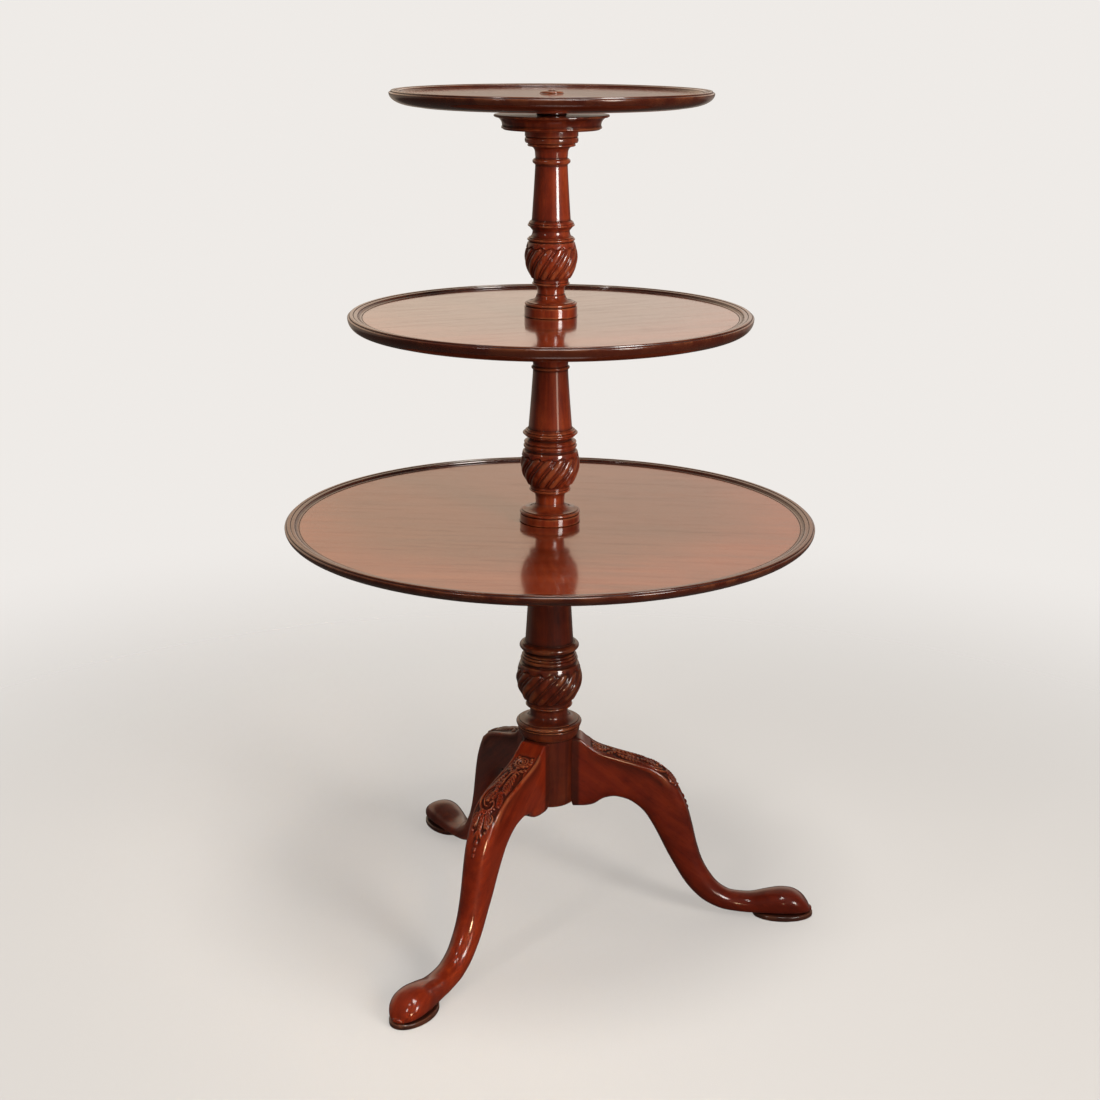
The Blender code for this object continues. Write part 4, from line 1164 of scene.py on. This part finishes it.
def carvedHeights(along, across):
    # everything that stands on the knee, over a ground sunk between two edge beads
    raised = np.zeros_like(along)
    carveRosette(raised, along, across)
    for leaf in carving["leaves"]:
        for row in leafStrokes(*leaf):
            stroke(raised, along, across, row)
    for row in carving["petals"]:
        stroke(raised, along, across, row, vein=0.4)
    for row in carving["rims"]:
        stroke(raised, along, across, row)
    for place, size, tall in carving["beads"]:
        dot(raised, along, across, place, size, tall)
    edge, floor = carving["edgeBead"], carving["ground"]
    offEdge = (np.abs(across) - edge["at"]) / edge["half"]
    edgeBead = edge["height"] * np.sqrt(np.clip(1 - offEdge ** 2, 0, 1)) * within(along, edge["start"], edge["end"])
    (wider, *widens), (narrower, *narrows) = floor["wider"], floor["narrower"]
    half = floor["half"] + wider * rise(along, *widens) - narrower * rise(along, *narrows)
    ground = within(along, floor["start"], floor["end"])
    ground = ground * (1 - rise(np.abs(across), half + floor["edge"][0], half + floor["edge"][1]))
    stipple = blurredBoth(np.random.default_rng(11).normal(size=along.shape), 0.9, 0.9)
    bare = ground * (raised < 0.2)
    raised = blurredBoth(raised, *carving["cutting"])
    heights = raised - floor["sunk"] * ground + edgeBead + bare * stipple * floor["stipple"]
    around = blurredBoth(heights, *carving["around"])
    # grime and painted shade in the carving's hollows and over its ground; its crests get wear and a painted sheen
    low = (around - heights) / 0.45 + ground * 0.16 + bare * 0.55
    return heights, np.clip(low, 0, 1), np.clip((heights - around) / 0.5, 0, 1)


def legRings():
    # the stations smoothed out, close together where the leg is carved
    stations = np.array(legStations)
    knots = travelAlong((stations[:, 0:2] + stations[:, 2:4]) / 2)
    places = np.linspace(0, knots[-1], leg["samples"])
    rows = easedCurve(knots, stations, places)
    smooth = blurred(rows, leg["smoothing"])
    keep = within(places, leg["keptStart"], [knots[-1] - gap for gap in leg["keptEnd"]])[:, None]
    rows = rows * (1 - keep) + smooth * keep
    rows[:, 3] = np.maximum(rows[:, 3], leg["lowest"])
    travel = travelAlong(rows[:, 0:2])
    travel += leg["markAt"][1] - np.interp(leg["markAt"][0], rows[:, 0], travel)
    fine = np.arange(travel[0], leg["carvedTo"], leg["fineStep"])
    coarse = np.arange(leg["carvedTo"] + 1, travel[-1], leg["coarseStep"])
    marks = np.concatenate((fine, coarse, [travel[-1]]))
    return np.stack([np.interp(marks, travel, column) for column in rows.T], 1), marks


def sectionShares(square, lowSquare):
    # where each point of a ring lies across and up its section, both -1 to 1
    above, below = square[:, None], lowSquare[:, None]
    corner, lowCorner = 2 ** (-1 / above), 2 ** (-1 / below)
    other = lambda share, power: (1 - np.abs(share) ** power) ** (1 / power)
    top = np.linspace(-1, 1, leg["topPoints"])[None] * corner
    low = np.linspace(1, -1, leg["lowPoints"])[None] * lowCorner
    side = np.cos(np.linspace(0, math.pi, leg["sidePoints"] + 2))[None, 1:-1]
    side = np.where(side > 0, side * corner, side * lowCorner)
    bulge = np.where(side > 0, other(side, above), other(side, below))
    across = np.concatenate((top, bulge, low, -bulge[:, ::-1]), 1)
    up = np.concatenate((other(top, above), side, -other(low, below), side[:, ::-1]), 1)
    return across, up


def carveKnee(rings, up, marks):
    # pushes the carved rings out along their normals; returns how hollow and how proud each point is
    step = np.gradient(rings, axis=0)
    turn = (np.roll(rings, -1, 1) - np.roll(rings, 1, 1)) / 2
    normals = np.cross(step, turn)
    normals /= np.maximum(np.linalg.norm(normals, axis=2), 1e-9)[:, :, None]
    along = np.repeat(marks[:, None], rings.shape[1], 1)
    across = rings[:, :, 1]
    crown, fades, (dark, *seamEnd) = carving["crown"], carving["fades"], leg["jointDirtAndShade"]
    shown = rise(up, *fades["up"]) * rise(along, *fades["along"])
    heights, hollow, crest = carvedHeights(along, across)
    swell = crown["height"] * within(along, crown["start"], crown["end"])
    heights = heights + swell * np.clip(1 - (across / crown["half"]) ** 2, 0, 1)
    # dirt and painted shade where the leg meets the hub
    jointDirtAndShade = dark * (1 - rise(along - marks[0], *seamEnd))
    rings += normals * (heights * shown)[:, :, None]
    return np.maximum(hollow * shown, jointDirtAndShade), crest * shown


def tongueRings(first, across, up):
    # the end on the hub, drawn in to the tongue's oblong, and the dovetail tongue itself
    neckY = leg["tongueNeckHalf"] * across
    neckZ = (leg["tongueTop"] + leg["tongueFoot"]) / 2 + (leg["tongueTop"] - leg["tongueFoot"]) / 2 * up
    rings = [np.stack((np.full(len(neckY), leg["tongueBack"]), leg["tongueBackHalf"] * across, neckZ), 1)]
    for share in leg["tongueSteps"]:
        sideways = neckY + (first[:, 1] - neckY) * share
        upright = neckZ + (first[:, 2] - neckZ) * share
        rings.append(np.stack((np.sqrt(leg["hub"] ** 2 - sideways ** 2), sideways, upright), 1))
    return np.array(rings)


def toeRings(last, centre):
    rings = []
    for angle in np.radians(leg["toeAngles"]):
        ring = centre + (last - centre) * math.cos(angle)
        ring[:, 0] += leg["toeReach"] * math.sin(angle)
        rings.append(ring)
    return np.array(rings)


def makeLegMesh():
    rows, marks = legRings()
    topX, topZ, lowX, lowZ, width, square, lowSquare = rows.T
    across, up = sectionShares(square, lowSquare)
    middle = np.stack(((topX + lowX) / 2, np.zeros(len(rows)), (topZ + lowZ) / 2), 1)
    half = np.stack(((topX - lowX) / 2, np.zeros(len(rows)), (topZ - lowZ) / 2), 1)
    rings = middle[:, None] + half[:, None] * up[:, :, None]
    rings[:, :, 1] += across * width[:, None] / 2
    rings[0, :, 0] = np.sqrt(leg["hub"] ** 2 - rings[0, :, 1] ** 2)
    carved = int(np.searchsorted(marks, leg["carvedTo"])) + 4
    hollows, crests = np.zeros(rings.shape[:2]), np.zeros(rings.shape[:2])
    hollows[:carved], crests[:carved] = carveKnee(rings[:carved], up[:carved], marks[:carved])
    corner = 2 ** (-1 / square[0])
    tongue = tongueRings(rings[0], np.clip(across[0] / corner, -1, 1), np.clip(up[0] / corner, -1, 1))
    centre = rings[-1].mean(0)
    toe = toeRings(rings[-1], centre)
    solid = np.concatenate((tongue, rings, toe))
    around = solid.shape[1]
    tip = (centre[0] + leg["tip"], 0.0, centre[2])
    points = np.concatenate(([solid[0].mean(0)], solid.reshape(-1, 3), [tip]))
    loops = [range(start, start + around) for start in range(1, len(points) - 1, around)]
    faces = skin([range(1), *loops, range(len(points) - 1, len(points))])
    ends = [(1 + len(tongue) * around, len(toe) * around + 1)]
    marked = {name: np.pad(values.ravel(), ends) for name, values in (("hollow", hollows), ("crest", crests))}
    return points, faces, {**marked, "paintedShade": np.zeros(len(points))}


pad = {
    "top": 7.0,
    "side": [(21.6, 0.0), ("flatFirst", 23.5, 1.7), (23.5, 3.2), ("flatLast", 22.4, 1.6), (22.0, 0.5), (0.0, 0.0)],
    "turns": 96,
    "oval": 77 / 47,
    "centre": (303.0, 0.0),
}


def makeLegs():
    points, faces, marks = makeLegMesh()
    outline = mould([(0.0, pad["top"])], pad["side"])
    for side, azimuth in {"right": 0, "rear": 120, "front": 240}.items():
        piece = addMesh(side + "LegCarved", points, faces, marks, leg["sharpAngle"])
        piece.matrix_world = aboutColumn(azimuth)
        settle(piece, side + " leg mahogany", "leg_" + side)
        foot = turnedPiece(side + "PadTurned", outline, pad["turns"], oval=pad["oval"], centre=pad["centre"])
        foot.matrix_world = aboutColumn(azimuth)
        settle(foot, "pad mahogany", "pad_" + side)


makeLegs()
print("legs: three cabriole legs with carved knees, and their pads")


plate = {"radius": 31.0, "top": 161.7, "thick": 1.6, "edge": 0.4, "topEdge": 0.2, "turns": 96}
screw = {
    "circle": 20.0,
    "hole": 2.0,
    "shank": 1.7,
    "tip": [(0.0, 14.3), (0.5, 12.5), (1.7, 9.5)],  # radius, and height over the plate's top
    "head": 3.6,
    "headGap": 0.3,
    "headEdge": 0.6,
    "dome": [("flatLast", 1.2, 1.15), (0.0, 0.05)],
    "slot": (8.0, 0.8, 1.6),
    "slotDrop": 1.75,
    "slotTurn": 1.7,  # so the three slots stand at odds
    "turns": 36,
    "holeTurns": 32,
}


def makeIronwork():
    top, thick, radius, edge = plate["top"], plate["thick"], plate["radius"], plate["edge"]
    foot = top - thick
    outline = [(0.0, top), (radius - plate["topEdge"], top), (radius, top - plate["topEdge"])]
    outline += [(radius, foot + edge), (radius - edge, foot), (0.0, foot)]
    disc = turnedPiece("hubPlateCut", outline, plate["turns"])
    cutting = [(0.0, top + 2), (screw["hole"], top + 2), (screw["hole"], top - 4), (0.0, top - 4)]
    slotCorner = lambda *sides: [side * size / 2 for side, size in zip(sides, screw["slot"])]
    holes = []
    for name, azimuth in {"rear": 60, "left": 180, "front": 300}.items():
        angle = math.radians(azimuth)
        spot = (axisX + screw["circle"] * math.cos(angle), screw["circle"] * math.sin(angle))
        holes.append(turnedPiece("hole", cutting, screw["holeTurns"], centre=spot))
        headTop = foot - screw["headGap"]
        outline = [(reach, top + height) for reach, height in screw["tip"]]
        outline += [(screw["shank"], headTop), (screw["head"], headTop), (screw["head"], headTop - screw["headEdge"])]
        mould(outline, screw["dome"])
        turned = turnedPiece("screw" + name.capitalize() + "Turned", outline, screw["turns"], centre=spot)
        place = Matrix.Translation((spot[0] * mm, spot[1] * mm, (headTop - screw["slotDrop"]) * mm))
        place = place @ Matrix.Rotation(angle * screw["slotTurn"], 4, "Z")
        cutAway(turned, [cutterBlock("driverSlot", slotCorner, place)])
        settle(turned, "worn steel", "hub_screw_" + name)
    cutAway(disc, holes)
    settle(disc, "black iron", "hub_plate")


makeIronwork()
print("ironwork: hub plate and screws")
